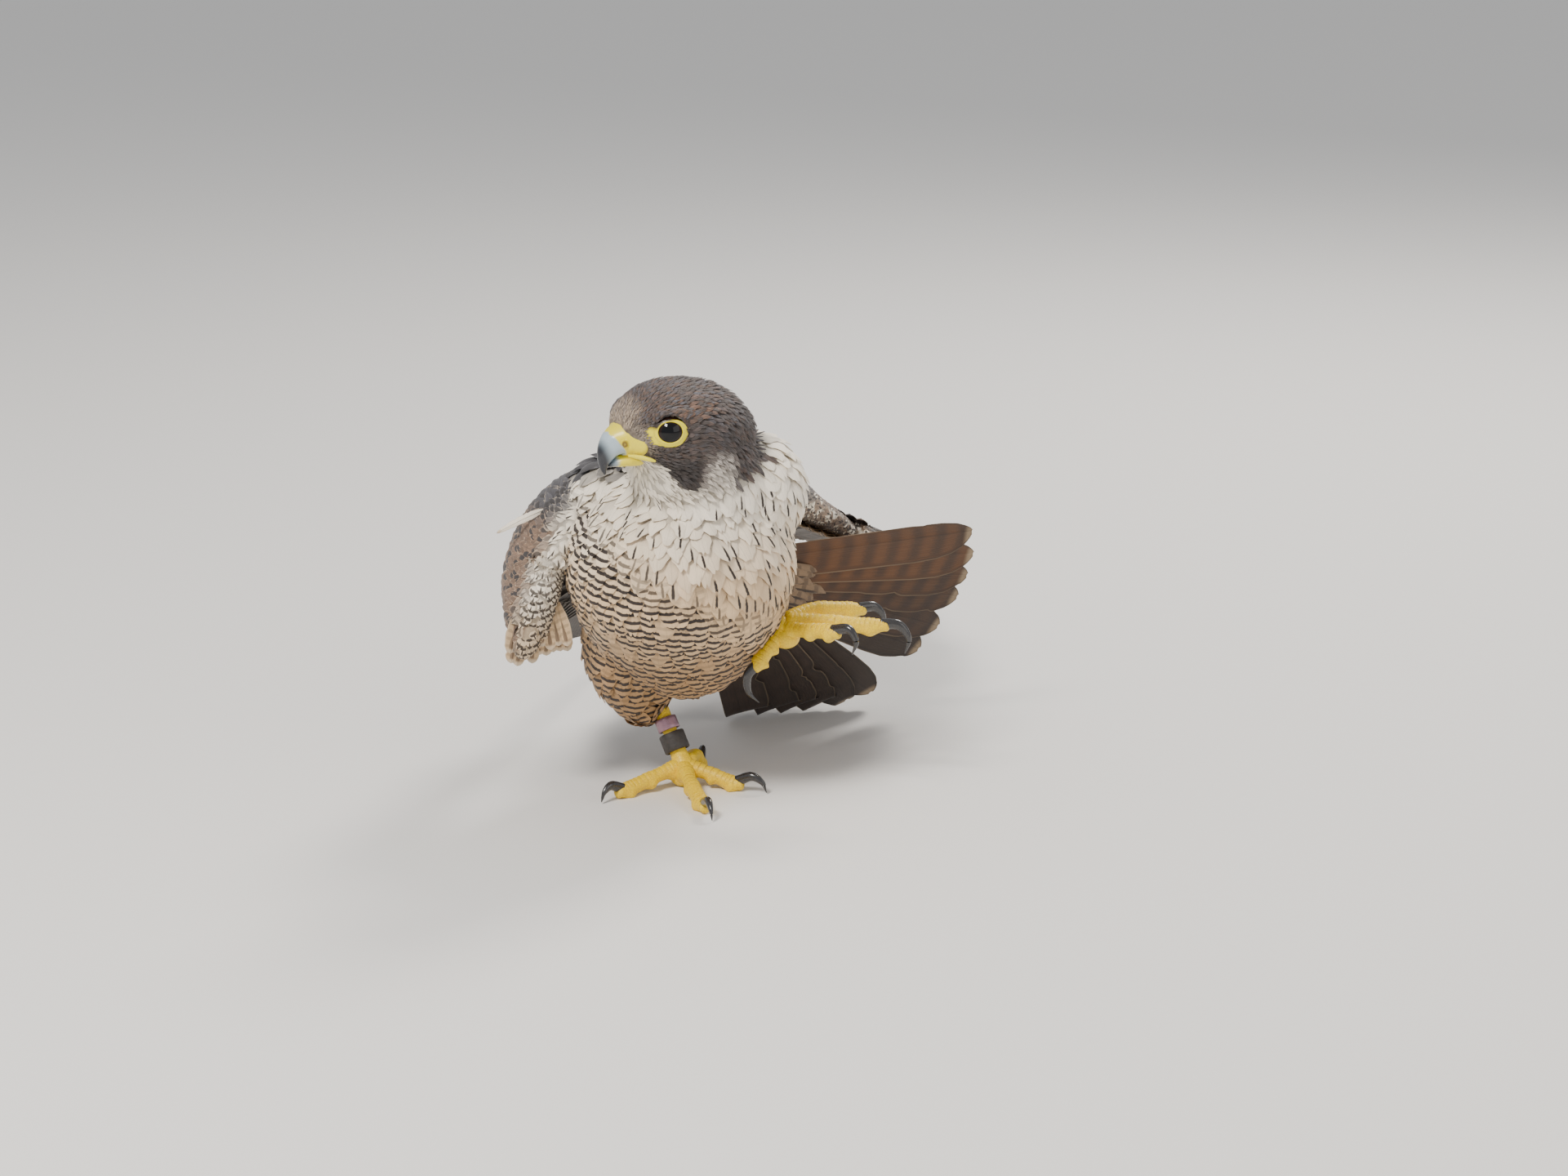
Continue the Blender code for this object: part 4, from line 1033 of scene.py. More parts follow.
def feather_set(name, quills, colours, paint, nodes=(), slot=None):
    """Many long feathers in one mesh; each takes a strip of the map, top face on the left.

    colours holds for each feather its ground, its mark colour and its marks.
    """
    points, triangles, along, across, way = join_parts(quills)
    sizes = np.array([len(part[0]) for part in quills])
    number = np.repeat(np.arange(len(quills)), sizes)
    tone = np.random.default_rng(len(quills)).random(len(quills))
    value = {"ground": np.array([c[0] for c in colours])[number],
             "ink": np.array([c[1] for c in colours])[number],
             "marks": np.array([c[2] for c in colours])[number],
             "blade": np.stack([along, across, tone[number]], 1),
             "place": way / CM}
    face = np.concatenate([np.repeat((0, 1), size // 2) for size in sizes])
    cell = (number + 0.04 + face * 0.49 + (across + 1) * 0.21) / len(quills)
    mesh = mesh_of(name, points, triangles, value, np.stack([cell, 0.01 + 0.98 * along], 1),
                   sharp=60)
    return show(name, mesh, paint, nodes)


# %% [markdown]
# ## The tail
#
# Twelve feathers fan out in one plane, each turned a little about its shaft so that it
# tucks under its neighbour. The lowest would reach the floor and lie just above it.

# %% Tail feathers
TAIL_TURNS = (-37.4, -30.9, -24.9, -19.1, -11.0, -4.5, 8.6, 13.4, 17.8, 21.9, 26.6, 34.0)
TAIL_LENGTH = 18.3 * CM
TAIL_ACROSS = np.cross(TAIL_UP, TAIL_AXIS)
TAIL_FLOOR = 5.2 * MM
# painted light: a warm brown for light shining through the first tail feathers, a dark brown for shade
# on the others
TAIL_SUNLIT_BROWN = paint_colour(118, 77, 43)
TAIL_SHADED_BROWN = paint_colour(68, 52, 41)
TAIL_INK = paint_colour(62, 46, 37)
TAIL_TIP = paint_colour(196, 170, 136)
UNDER_TAIL = paint_colour(142, 116, 88)


def fan(axis, across, degrees):
    """A direction turned from the axis in the plane of a fan."""
    return axis * math.cos(math.radians(degrees)) + across * math.sin(math.radians(degrees))


def tail_quills(draw):
    """The twelve tail feathers, the middle ones longest, with their colours: painted light on the first
    ones, painted shade on the rest.
    """
    made, colours = [], []
    middle = (len(TAIL_TURNS) - 1) / 2
    for k, turn in enumerate(TAIL_TURNS):
        outward = abs(k - middle) / middle
        sign = 1.0 if k < middle else -1.0
        direction = fan(TAIL_AXIS, TAIL_ACROSS, turn)
        length = TAIL_LENGTH - 1.5 * CM * outward ** 1.5 - 1.2 * CM
        length = length - draw.uniform(0.0, 0.35) * CM
        root = TAIL_ROOT + direction * 1.2 * CM - TAIL_UP * (0.35 * MM * abs(k - middle))
        made.append(quill(root, direction, TAIL_UP, length, 2.75 * CM, BLUNT, draw,
                          math.radians(7) * sign, 0.0, 0.5 - 0.16 * outward, sign, TAIL_FLOOR,
                          rows=60, camber=0.03, splits=7 if k > 7 else 4))
        # painted light and shade: the first two feathers take the lit brown, which darkens to the shaded
        # brown by the sixth
        ground = between(TAIL_SUNLIT_BROWN, TAIL_SHADED_BROWN, min(1.0, max(0, k - 1) / 4))
        bold = draw.uniform(0.62, 0.85)
        colours.append((ground * draw.uniform(0.9, 1.1), TAIL_INK, (0, bold, 0)))
    return made, colours


def tail_coverts(draw):
    """Tiers of softer feathers below and above the root of the tail."""
    made, colours = [], []
    tiers = ((13, 54, 7.8, 1.7, -1.2), (12, 50, 6.6, 1.6, -1.5), (11, 44, 5.4, 1.6, -1.9),
             (10, 38, 4.2, 1.5, -2.3), (11, 48, 6.8, 1.7, 1.3), (10, 40, 5.0, 1.6, 1.8))
    for tier, (count, spread_of, length, width, lift) in enumerate(tiers):
        for k in range(count):
            turn = spread_of * (k / (count - 1) - 0.5) + draw.uniform(-1.5, 1.5)
            direction = fan(TAIL_AXIS, TAIL_ACROSS, turn)
            sign = 1.0 if lift > 0 else -1.0
            root = TAIL_ROOT + direction * 0.9 * CM + TAIL_UP * (lift * 4.2 * MM)
            made.append(quill(root, direction - TAIL_UP * (0.02 * sign), TAIL_UP,
                              length * draw.uniform(0.70, 1.15) * CM, width * 1.1 * CM, POINTED,
                              draw, math.radians(10) * sign, 0.03 * sign, rows=26, camber=0.12 * sign,
                              splits=9))
            below = (UNDER_TAIL * draw.uniform(0.85, 1.1), MARK, (0.9, 0.45, 0))
            above = (SLATE, paint_colour(48, 46, 48), (0.4, 0.7, 0.2))
            colours.append(above if lift > 0 else below)
    return made, colours


tail_paint = feather_paint("tail_feathers", 1.42, 0.50, TAIL_TIP, soft=0.19, fade=0.50)
covert_paint = feather_paint("covert_feathers", 0.95, 0.34, streak_width=0.14, fade=0.12)
draw = np.random.default_rng(31)
feather_set("tail_feathers", *tail_quills(draw), tail_paint, ("tail",), "plumage_tail")
feather_set("tail_coverts", *tail_coverts(draw), covert_paint, (), "plumage_pale")

# %% [markdown]
# ## The wings
#
# A wing is an arm under small coverts, with ten primaries on the hand and the
# secondaries behind the arm. The right wing hangs half open beside the body, the left
# one is drawn back behind the tail.


# %% The plan of a wing
class Wing:
    """Front edge, plane and feather directions of one wing, in metres."""

    def __init__(self, leading, chord, up, elbow, wrist, hand_tip, chords, thick, first, last,
                 inner, outer_side, stack, roll, pale):
        self.leading = np.array(leading) * CM
        self.chord = unit(chord)
        self.up = unit(up)
        self.elbow = np.array(elbow) * CM
        self.wrist = np.array(wrist) * CM
        self.hand_tip = np.array(hand_tip) * CM
        self.chords = chords
        self.thick = thick
        self.first = unit(first)
        self.last = unit(last)
        self.inner = unit(inner)
        self.outer_side = outer_side
        self.stack = stack * MM
        self.roll = math.radians(roll)
        self.pale = pale


RIGHT_WING = Wing(
    [(-4.2, -3.6, 17.0), (-6.0, -4.4, 15.2), (-7.2, -4.6, 13.0), (-7.7, -4.6, 10.9),
     (-8.0, -4.1, 9.3)], (-0.16, 0.97, 0.05), (-0.87, -0.20, 0.38), (-7.8, 3.2, 13.7),
    (-8.2, -3.6, 9.3), (-8.1, 2.4, 7.9), (4.2, 6.6, 7.4, 5.1, 2.7), (2.5, 2.8, 3.0, 2.9, 2.4),
    (0.08, 0.985, -0.13), (0.09, 0.975, -0.205), (0.16, 0.96, -0.20), -1.0, 0.8, 9,
    1.0)
LEFT_WING = Wing(
    [(4.6, -2.0, 17.0), (6.7, 2.6, 15.9), (8.1, 6.4, 14.2), (9.2, 9.4, 12.7),
     (10.0, 12.0, 11.4)], (-0.86, 0.40, 0.16), (0.34, 0.20, 0.92), (3.3, 6.6, 15.1),
    (9.7, 12.2, 11.4), (10.6, 18.0, 10.0), (2.6, 4.4, 5.2, 3.6, 2.0), (2.6, 2.2, 1.9, 1.6, 1.3),
    (-0.26, 0.94, -0.20), (0.06, 0.97, -0.22), (-0.34, 0.92, -0.16), 1.0, 0.35, 8,
    0.35)


def along_bones(wing, share):
    """A point from the wrist at 0, past the elbow at 0.62, to the shoulder at 1."""
    shoulder = wing.leading[0] + wing.chord * 1.5 * CM
    if share < 0.62:
        return between(wing.wrist, wing.elbow, share / 0.62)
    return between(wing.elbow, shoulder, (share - 0.62) / 0.38)


# %% Flight feathers and long coverts
WING_GROUND = paint_colour(96, 86, 78)
WING_BROWN = paint_colour(138, 110, 88)
WING_INK = paint_colour(54, 49, 47)
WING_PALE = paint_colour(196, 178, 154)
SLATE_BLACK = paint_colour(58, 54, 54)


def flight_quills(wing, draw):
    """Ten primaries, the ninth the longest, and thirteen secondaries."""
    made, colours = [], []
    for k in range(10):
        share = k / 9
        length = (14.0 + 11.6 * share ** 0.9 - (0.6 if k == 9 else 0.0)) * CM
        base = between(wing.wrist, wing.hand_tip, share) - wing.up * (wing.stack * k)
        made.append(quill(base, between(wing.first, wing.last, share), wing.up, length,
                          2.7 * (1.05 - 0.3 * share) * CM, POINTED, draw,
                          wing.roll * wing.outer_side, 0.035, 0.42 - 0.2 * share,
                          wing.outer_side, rows=64, splits=6))
        colours.append((WING_GROUND, WING_INK, (0, 0.45, 0)))
    for k in range(13):
        share = (k + 0.5) / 13
        length = 12.6 * (1 - 0.22 * share ** 2) * CM
        made.append(quill(along_bones(wing, share * 0.78), between(wing.first, wing.inner, share),
                          wing.up, length, 3.0 * CM, BLUNT, draw, wing.roll * wing.outer_side,
                          0.05, 0.4, wing.outer_side, rows=44, splits=6))
        colours.append((WING_GROUND, WING_INK, (0, 0.5, 0)))
    return made, colours


def covert_quills(wing, draw):
    """Greater and median coverts in tiers above and below, primary coverts and thumb."""
    made, colours = [], []
    tiers = ((13, 0.02, 0.86, 5.6, 2.2, 0.3, 0.62), (12, 0.02, 0.86, 4.5, 2.1, 0.9, 0.80),
             (11, 0.05, 0.86, 3.9, 2.0, 1.5, 0.95), (12, 0.03, 0.84, 4.6, 2.2, 0.4, -0.62),
             (10, 0.05, 0.84, 3.6, 2.0, 1.4, -0.85))
    for count, first, last, length, width, shift, lift in tiers:
        for k in range(count):
            share = first + (last - first) * k / (count - 1)
            room = min(1.0, 0.35 + 1.6 * share)
            base = along_bones(wing, share) - wing.chord * (shift * room * CM)
            base = base + wing.up * (lift * 0.72 * CM)
            tilt = 0.04 if lift > 0 else -0.04
            direction = between(wing.first, wing.inner, share) - wing.up * tilt
            roll = (wing.roll if lift > 0 else -wing.roll) * wing.outer_side * 1.3
            made.append(quill(base, direction, wing.up, length * draw.uniform(0.94, 1.06) * CM,
                              width * CM, COVERT, draw, roll, 0.06 if lift > 0 else -0.04,
                              rows=20, camber=0.08 if lift > 0 else -0.08, splits=3))
            over = (between(WING_BROWN, WING_GROUND, draw.uniform(0.1, 0.9)), SLATE_BLACK,
                    (0.3, 0.25, draw.choice((0.9, 0.4))))
            colours.append(over if lift > 0 else (CREAM, MARK, (0.3, 0.8, 0)))
    for k in range(9):
        share = k / 8
        base = between(wing.wrist, wing.hand_tip, share * 0.92) + wing.up * 4.0 * MM
        direction = between(wing.first, wing.last, share) - wing.up * 0.03
        made.append(quill(base, direction, wing.up, (7.2 - 1.0 * share) * CM, 1.8 * CM, COVERT,
                          draw, wing.roll * wing.outer_side * 1.4, 0.02, rows=24, splits=3))
        colours.append((WING_GROUND, SLATE_BLACK, (0, 0.3, 0.9)))
    thumb = wing.wrist - wing.chord * 0.5 * CM + wing.up * 1.5 * MM
    for k in range(3):
        way = wing.last - wing.chord * (0.05 * k)
        made.append(quill(thumb + wing.up * (1.4 * MM * k), way, wing.up, (6.2 - 0.9 * k) * CM,
                          1.3 * CM, POINTED, draw, 0.0, 0.03, rows=20, splits=2))
        colours.append((WING_GROUND, SLATE_BLACK, (0, 0.2, 0.9)))
    return made, colours


# %% Soft feathers at the bend of the right wing
def bend_quills(draw):
    """Two rows of short cream feathers that hang from the bend, and one stray feather."""
    made, colours = [], []
    for row, (count, back, drop) in enumerate(((9, -2.7, 0.0), (8, -3.4, 0.7))):
        for k in range(count):
            share = (k + 0.5) / count
            base = between(np.array((-8.9, back, 9.9 + drop)), (-6.5, back + 0.3, 10.5 + drop), share)
            way = between(np.array((-0.22, -0.03, -1.0)), (0.26, 0.05, -1.0), share)
            made.append(quill(base * CM, way, (0.1, -1.0, 0.15), draw.uniform(2.1, 2.6) * CM,
                              0.85 * CM, COVERT, draw, draw.uniform(-0.1, 0.1), 0.05, rows=18,
                              splits=4))
            colours.append((CREAM * draw.uniform(0.80, 1.0), WING_BROWN * 0.5, (0.8, 0.35, 0)))
    made.append(quill(np.array((-7.3, -2.1, 16.05)) * CM, (-0.90, 0.02, -0.38),
                      (-0.3, -0.6, 0.75), 2.9 * CM, 0.46 * CM, POINTED, draw, 0.7, 0.10, rows=40,
                      splits=16))
    colours.append((WHITE, MARK, (0, 0, 0)))
    return made, colours


# %% The arm under its small coverts
def arm_surface(wing):
    """The arm and the hand as two closed tubes, drawn in by the depth of the coat."""
    inset = 0.15
    rows = []
    for edge, chord, thick in zip(wing.leading, wing.chords, wing.thick):
        half = thick / 2 - inset
        rows.append([*(edge + wing.chord * (chord * CM / 2)), (chord / 2 - inset) * CM,
                     half * CM, half * CM])
    arm = tube(rows, 40, 40, wing.up, (0.5, 0.42))
    rows = []
    for share, wide, thick in ((0.0, 1.15, 0.72), (0.5, 0.9, 0.5), (1.0, 0.45, 0.28)):
        rows.append([*between(wing.wrist, wing.hand_tip, share), (wide - 0.1) * CM,
                     (thick - 0.08) * CM, (thick - 0.08) * CM])
    hand = tube(rows, 16, 24, wing.up, (0.7, 0.6))
    points, triangles, _, _ = join_parts([arm, hand])
    return points, outward(points, triangles)


def wing_marks(wing):
    """Markings for the small coverts: white and streaked along the front edge, brown
    with scattered slate centres over the arm, pale and barred under it."""

    def marks_of(points, normals):
        front = forward_share(wing, points)
        over = normals @ wing.up
        chance, other = lottery(points, 1.7), lottery(points, 3.1)
        reach = 0.08 * ease(13.0, 10.5, points[:, 2] / CM)
        edge = ease(0.34, 0.12, front - reach + 0.22 * (chance - 0.5)) * ease(0.90, 0.45, over)
        under = ease(-0.3, -0.6, over)
        pale = np.clip(edge + under, 0, 1) * np.where(chance < wing.pale, 1.0, 0.15)
        x, y, z = (points / CM).T
        brown = between(WING_BROWN, SLATE, np.maximum(ease(0.55, 0.95, front) * 0.7,
                                                      ease(15.2, 16.4, z + 0.5 * chance)))
        brown = brown * (0.80 + 0.40 * other)[:, None]
        low = ease(12.5, 9.5, z) * 0.8
        ground = between(brown, between(WHITE, CREAM * 0.8, low), pale)
        ink = between(np.tile(SLATE_BLACK, (len(points), 1)), MARK, pale)
        dark = np.where(chance < 0.36, 1.0, 0.30)
        bars = np.maximum(0.5 * under, 0.95 * edge * ease(15.0, 12.0, z))
        return ground, ink, np.stack([0.45 + 0.5 * edge, bars, dark * (1 - pale)], 1)

    return marks_of


def forward_share(wing, points):
    """0 at the front edge and 1 a chord behind it, from the nearest point of that edge."""
    line = smooth_rows(np.column_stack([wing.leading, wing.chords]), 60)
    gap = np.linalg.norm(points[:, None] - line[None, :, :3], axis=2)
    near = gap.argmin(1)
    return ((points - line[near, :3]) @ wing.chord) / (line[near, 3] * CM)


def wing_lie(wing):
    """Over the arm the feathers point as the flight feathers do."""

    def lie_of(points, normals):
        back = between(wing.first, wing.inner, 0.5)
        flow = np.tile(back, (len(points), 1)) - wing.up * 0.0
        front = forward_share(wing, points)
        down = unit(wing.leading[-1] - wing.leading[0])
        flow = between(flow, unit(down * 0.6 + back), ease(0.3, 0.0, front))
        flow = flow - normals * (flow * normals).sum(1)[:, None]
        return unit(flow)

    return lie_of


def build_wing(name, wing, seed):
    """Flight feathers, long coverts and the arm with its small coverts."""
    draw = np.random.default_rng(seed)
    feather_set(name + "_flight", *flight_quills(wing, draw), wing_paint, (name,), "plumage_wing")
    feather_set(name + "_coverts", *covert_quills(wing, draw), covert_paint, (), "plumage_wing")
    points, triangles = arm_surface(wing)
    mesh, corner = unwrapped(name + "_arm", points, triangles)
    points, normals, triangles = arrays_of(mesh)
    marks_of = wing_marks(wing)
    add_values(mesh, {"ground": marks_of(points, normals)[0]})
    show(name + "_arm", mesh, down_paint, ())

    def outside(root, normal):
        hit, way = on_surface(body_tree, root)
        return ((root - hit) * way).sum(1) > -1.0 * MM

    def length_of(places):
        return between(7.5 * MM, 14.0 * MM, ease(0.15, 0.8, forward_share(wing, places)))

    coat(name + "_coat", points, normals, triangles, corner, arm_paint, wing_lie(wing),
         length_of, lambda places: length_of(places) * 0.31, marks_of,
         lambda places: np.full(len(places), 1.4 * MM), seed + 1, outside)


wing_paint = feather_paint("flight_feathers", 1.05, 0.42, paint_colour(150, 138, 124),
                           soft=0.12, fade=0.15, shift=0.8)
arm_paint = feather_paint("small_coverts", 0.42, 0.40, paint_colour(214, 194, 166),
                          streak_width=0.22, rim=0.13, core=0.74)
body_tree = BVHTree.FromPolygons(skin_points.tolist(), skin_triangles.tolist())
build_wing("wing_right", RIGHT_WING, 41)
feather_set("wing_bend", *bend_quills(np.random.default_rng(61)), arm_paint, (), "plumage_wing")
build_wing("wing_left", LEFT_WING, 51)

# %% [markdown]
# ## Eyes
#
# A falcon's eye is almost black, wet and set deep under its brow, with a ring of bare
# yellow skin. The ring is one turned profile: a low roll at the lid, then a slope.

# %% Eyeballs and their yellow rings
eye_paint = Paint("eyeball", Roughness=0.03, Specular_IOR_Level=0.32)
r_eye = eye_paint.attribute("reach", "Fac")
iris = eye_paint.mix(eye_paint.noise(0.5 * MM) * 0.5, paint_colour(34, 18, 12), paint_colour(18, 10, 8))
eye_paint.set("Base Color", eye_paint.mix(r_eye.ease(4.9, 4.6), iris, (0.002, 0.002, 0.003)))

ring_paint = Paint("bare_yellow_skin", Roughness=0.42, Coat_Weight=0.15)
bump_noise = ring_paint.noise(0.7 * MM, 4.0)
ring_shade = ring_paint.attribute("shade", "Fac")
# painted shade: the shade value darkens the yellow, and from 0.95 up it turns dark brown under the brow
yellow = ring_paint.mix(ring_shade + (bump_noise - 0.5) * 0.5, paint_colour(238, 222, 34),
                        paint_colour(150, 134, 26))
ring_paint.set("Base Color", ring_paint.mix(ring_shade.ease(0.95, 1.5), yellow,
                                            paint_colour(52, 42, 36)))
ring_paint.bump(bump_noise, 0.3 * MM, 0.7)


def eyeball(side):
    """A sphere with a slightly raised window, and each point's distance from the look."""
    look = eye_look(side)
    angle = np.linspace(0.001, np.pi - 0.001, 48)
    profile = np.stack([np.sin(angle), np.cos(angle)], 1) * EYE_RADIUS
    profile[:, 1] += 0.5 * MM * np.exp(-(angle / 0.42) ** 2)
    points, triangles = turned(profile, eye_centre(side), look, 48)
    reach = np.repeat(profile[:, 0] / MM, 48)
    mesh = mesh_of("eye", points, outward(points, triangles), {"reach": reach})
    return mesh


def below(tree, places, way):
    """Where lines from the places first meet the surface."""
    return np.array([tree.ray_cast(Vector(place), Vector(way))[0] for place in places.tolist()])


def eye_ring(side):
    """The lid and the bare skin round it, drawn out to a corner in front.

    Round the eye the lid's edge is an oval on the ball. From its crest the skin falls to
    the surface of the head, and it ends at the reach of that direction.
    """
    look, centre = eye_look(side), eye_centre(side)
    front, up = eye_axes(side)
    turns = np.linspace(0, 360, 120, endpoint=False)
    angle = np.radians(turns)[:, None]
    way = np.cos(angle) * front + np.sin(angle) * up
    inner = 1 / np.hypot(np.cos(angle[:, 0]) / 6.2, np.sin(angle[:, 0]) / 5.25)
    reach = eye_reach((turns + 180) % 360 - 180)
    fold = 0.10 * np.sin(np.radians(turns) * 23) + 0.08 * np.sin(np.radians(turns) * 9 + 1)
    rings = []
    for share in np.linspace(0, 1, 26):
        lid = min(1.0, share / 0.30)
        radius = inner + 0.95 * lid
        out = np.sqrt(9.5 ** 2 - np.minimum(radius, 8.5) ** 2) + 0.75 * math.sin(lid * math.pi * 0.62)
        if share > 0.30:
            more = (share - 0.30) / 0.70
            radius = radius + (np.maximum(reach - radius, 0.2)) * more
            flat = centre + way * (radius * MM)[:, None]
            low = below(body_tree, flat + look * 20 * MM, -look)
            height = (low - flat) @ look / MM + 0.45 * (1 - more) + 0.2 * fold
            height = np.maximum(height, crest - 0.55 * (radius - rim) - 0.12 * (radius - rim) ** 2)
            rings.append(flat + look * (height * MM)[:, None])
        else:
            rim, crest = radius, out
            rings.append(centre + way * (radius * MM)[:, None] + look * (out * MM)[:, None])
    last = rings[-1] - look * 1.5 * MM
    inside = centre + way * (inner * 0.98 * MM)[:, None] + look * 5.0 * MM
    points = np.concatenate(rings + [last, inside])
    sides, count = len(turns), len(rings) + 2
    r, k = np.meshgrid(np.arange(count), np.arange(sides), indexing="ij")
    a, b = r * sides + k, r * sides + (k + 1) % sides
    c, d = (a + sides) % (count * sides), (b + sides) % (count * sides)
    faces = np.concatenate([np.stack([a.ravel(), b.ravel(), d.ravel()], 1),
                            np.stack([a.ravel(), d.ravel(), c.ravel()], 1)])
    along = np.repeat(np.append(np.linspace(0, 1, 26), (1, 0)), sides)
    turned_to = np.tile((turns + 180) % 360 - 180, count)
    # painted shade: dark at the lid's inner edge, in a thin groove past its roll, and under the brow
    # along the top of the ring
    shade = 0.85 * ease(0.10, 0.02, along) + 0.35 * np.exp(-((along - 0.42) / 0.05) ** 2)
    brow = ease(2, 25, turned_to) * ease(125, 85, turned_to)
    shade = np.maximum(shade, brow * ease(0.05, 0.4, along) * 1.6)
    return mesh_of("ring", points, outward(points, faces), {"shade": shade})


for side, name in ((1, "eye_left"), (-1, "eye_right")):
    show(name + "_ball", eyeball(side), eye_paint, (name,))
    show(name + "_ring", eye_ring(side), ring_paint, ())

# %% [markdown]
# ## The bill
#
# Yellow cere at the root, then blue-grey horn that darkens to the hooked tip. The nostril
# is a round hole with a small cone inside, which is pressed into the tube of the cere.

# %% Upper and lower bill
horn_paint = Paint("horn", Roughness=0.30, Coat_Weight=0.3, Coat_Roughness=0.2)
cere_share, tip_share, nostril_shade_share = horn_paint.parts(horn_paint.attribute("zone"))
grain = horn_paint.noise(0.9 * MM, 4.0)
horn = horn_paint.mix(tip_share, paint_colour(170, 187, 196), paint_colour(34, 37, 44))
cere = horn_paint.mix(grain * 0.5, paint_colour(240, 222, 40), paint_colour(212, 190, 30))
whole = horn_paint.mix(cere_share, horn, cere)
# painted shade: the nostril pits are painted dark brown
horn_paint.set("Base Color", horn_paint.mix(nostril_shade_share, whole, paint_colour(86, 44, 14)))
horn_paint.set("Roughness", cere_share * 0.22 + 0.26)
horn_paint.bump(grain, 0.15 * MM, 0.6)


def head_rows(rows):
    """Stations in the middle of the head, from forward, up and three half sizes in cm."""
    return [[*head_point(f, 0, u), *(np.array(halves) * CM)] for f, u, *halves in rows]


BILL_UPPER = ((2.10, -0.35, 1.75, 1.20, 0.86), (2.45, -0.35, 1.84, 1.30, 0.92),
              (2.72, -0.35, 1.62, 1.26, 0.88), (2.98, -0.38, 1.30, 1.14, 0.76),
              (3.32, -0.47, 0.92, 0.89, 0.60),
              (3.68, -0.76, 0.60, 0.66, 0.47),
              (3.92, -1.18, 0.37, 0.42, 0.38), (4.00, -1.62, 0.18, 0.20, 0.22),
              (3.92, -1.98, 0.05, 0.06, 0.07))
BILL_LOWER = ((2.20, -1.33, 0.94, 0.42, 0.36), (2.80, -1.33, 0.80, 0.38, 0.34),
              (3.25, -1.38, 0.57, 0.30, 0.28), (3.58, -1.48, 0.28, 0.16, 0.16))


def upper_bill():
    """The tube of the upper bill with the cere's soft swelling and its nostrils."""
    points, triangles, way, turn = tube(head_rows(BILL_UPPER), 90, 96,
                                        UP + HEAD_FORWARD * 0.35, (0.4, 0.8))
    f, l, u = in_head(points).T
    front = f - 3.02 - 0.78 * ease(-1.05, 0.35, u) + 0.06 * ripple(points, 0.004, 4)
    cere_zone = ease(0.035, -0.035, front)
    normal = vertex_normals(points, triangles)
    points = points + normal * (cere_zone * 0.25 * MM)[:, None]
    hole = np.zeros(len(points))
    for side in (1, -1):
        place = head_point(3.22, side * 0.98, -0.28)
        apart = np.linalg.norm(points - place, axis=1) / MM
        same = (l * side > 0)
        pit = np.exp(-(apart / 1.8) ** 6) - 0.8 * np.exp(-(apart / 0.6) ** 2)
        rim = np.exp(-((apart - 2.3) / 0.55) ** 2)
        points = points + normal * ((rim * 0.30 - pit * 1.5) * MM * same)[:, None]
        hole = np.maximum(hole, np.clip(pit, 0, 1) * same)
    # the third share marks the nostril pits, which carry painted shade
    zone = np.stack([cere_zone, ease(3.55, 4.15, f - 0.40 * (u + 1.0)), hole], 1)
    return mesh_of("bill_upper_horn", points, triangles, {"zone": zone})


def vertex_normals(points, triangles):
    """Mean of the area-weighted normals of the faces round each point."""
    a, b, c = (points[triangles[:, k]] for k in range(3))
    face = np.cross(b - a, c - a)
    total = np.zeros_like(points)
    for k in range(3):
        np.add.at(total, triangles[:, k], face)
    return unit(total)


def lower_bill():
    """The short lower half, yellow at its root."""
    points, triangles, way, turn = tube(head_rows(BILL_LOWER), 40, 48, UP, (0.4, 0.7))
    f, l, u = in_head(points).T
    zone = np.stack([ease(3.45, 3.2, f), ease(3.2, 3.8, f), np.zeros(len(f))], 1)
    return mesh_of("bill_lower_horn", points, triangles, {"zone": zone})


def gape(side):
    """The yellow corner of the mouth: a thin soft tube along the mouth line."""
    rows = [[*head_point(f, side * l, u), r * MM, r * MM, r * MM] for f, l, u, r in
            ((3.05, 1.05, -0.92, 0.7), (2.7, 1.50, -0.95, 1.2), (2.35, 1.90, -1.03, 1.1),
             (2.1, 2.08, -1.12, 0.6))]
    return tube(rows, 16, 14, UP, (0.8, 0.8))


show("bill_upper_horn", upper_bill(), horn_paint, ("bill_upper",))
show("bill_lower_horn", lower_bill(), horn_paint, ("bill_lower",))
points, triangles, way, turn = join_parts([gape(1), gape(-1)])
show("mouth_corners", mesh_of("gape", points, triangles, {"shade": np.zeros(len(points))}),
     ring_paint, ())

# %% [markdown]
# ## Feet and claws
#
# Toes carry broad scales across their tops and round pads below. The scales are steps in
# the radius of the tube, and the skin between them is darker.

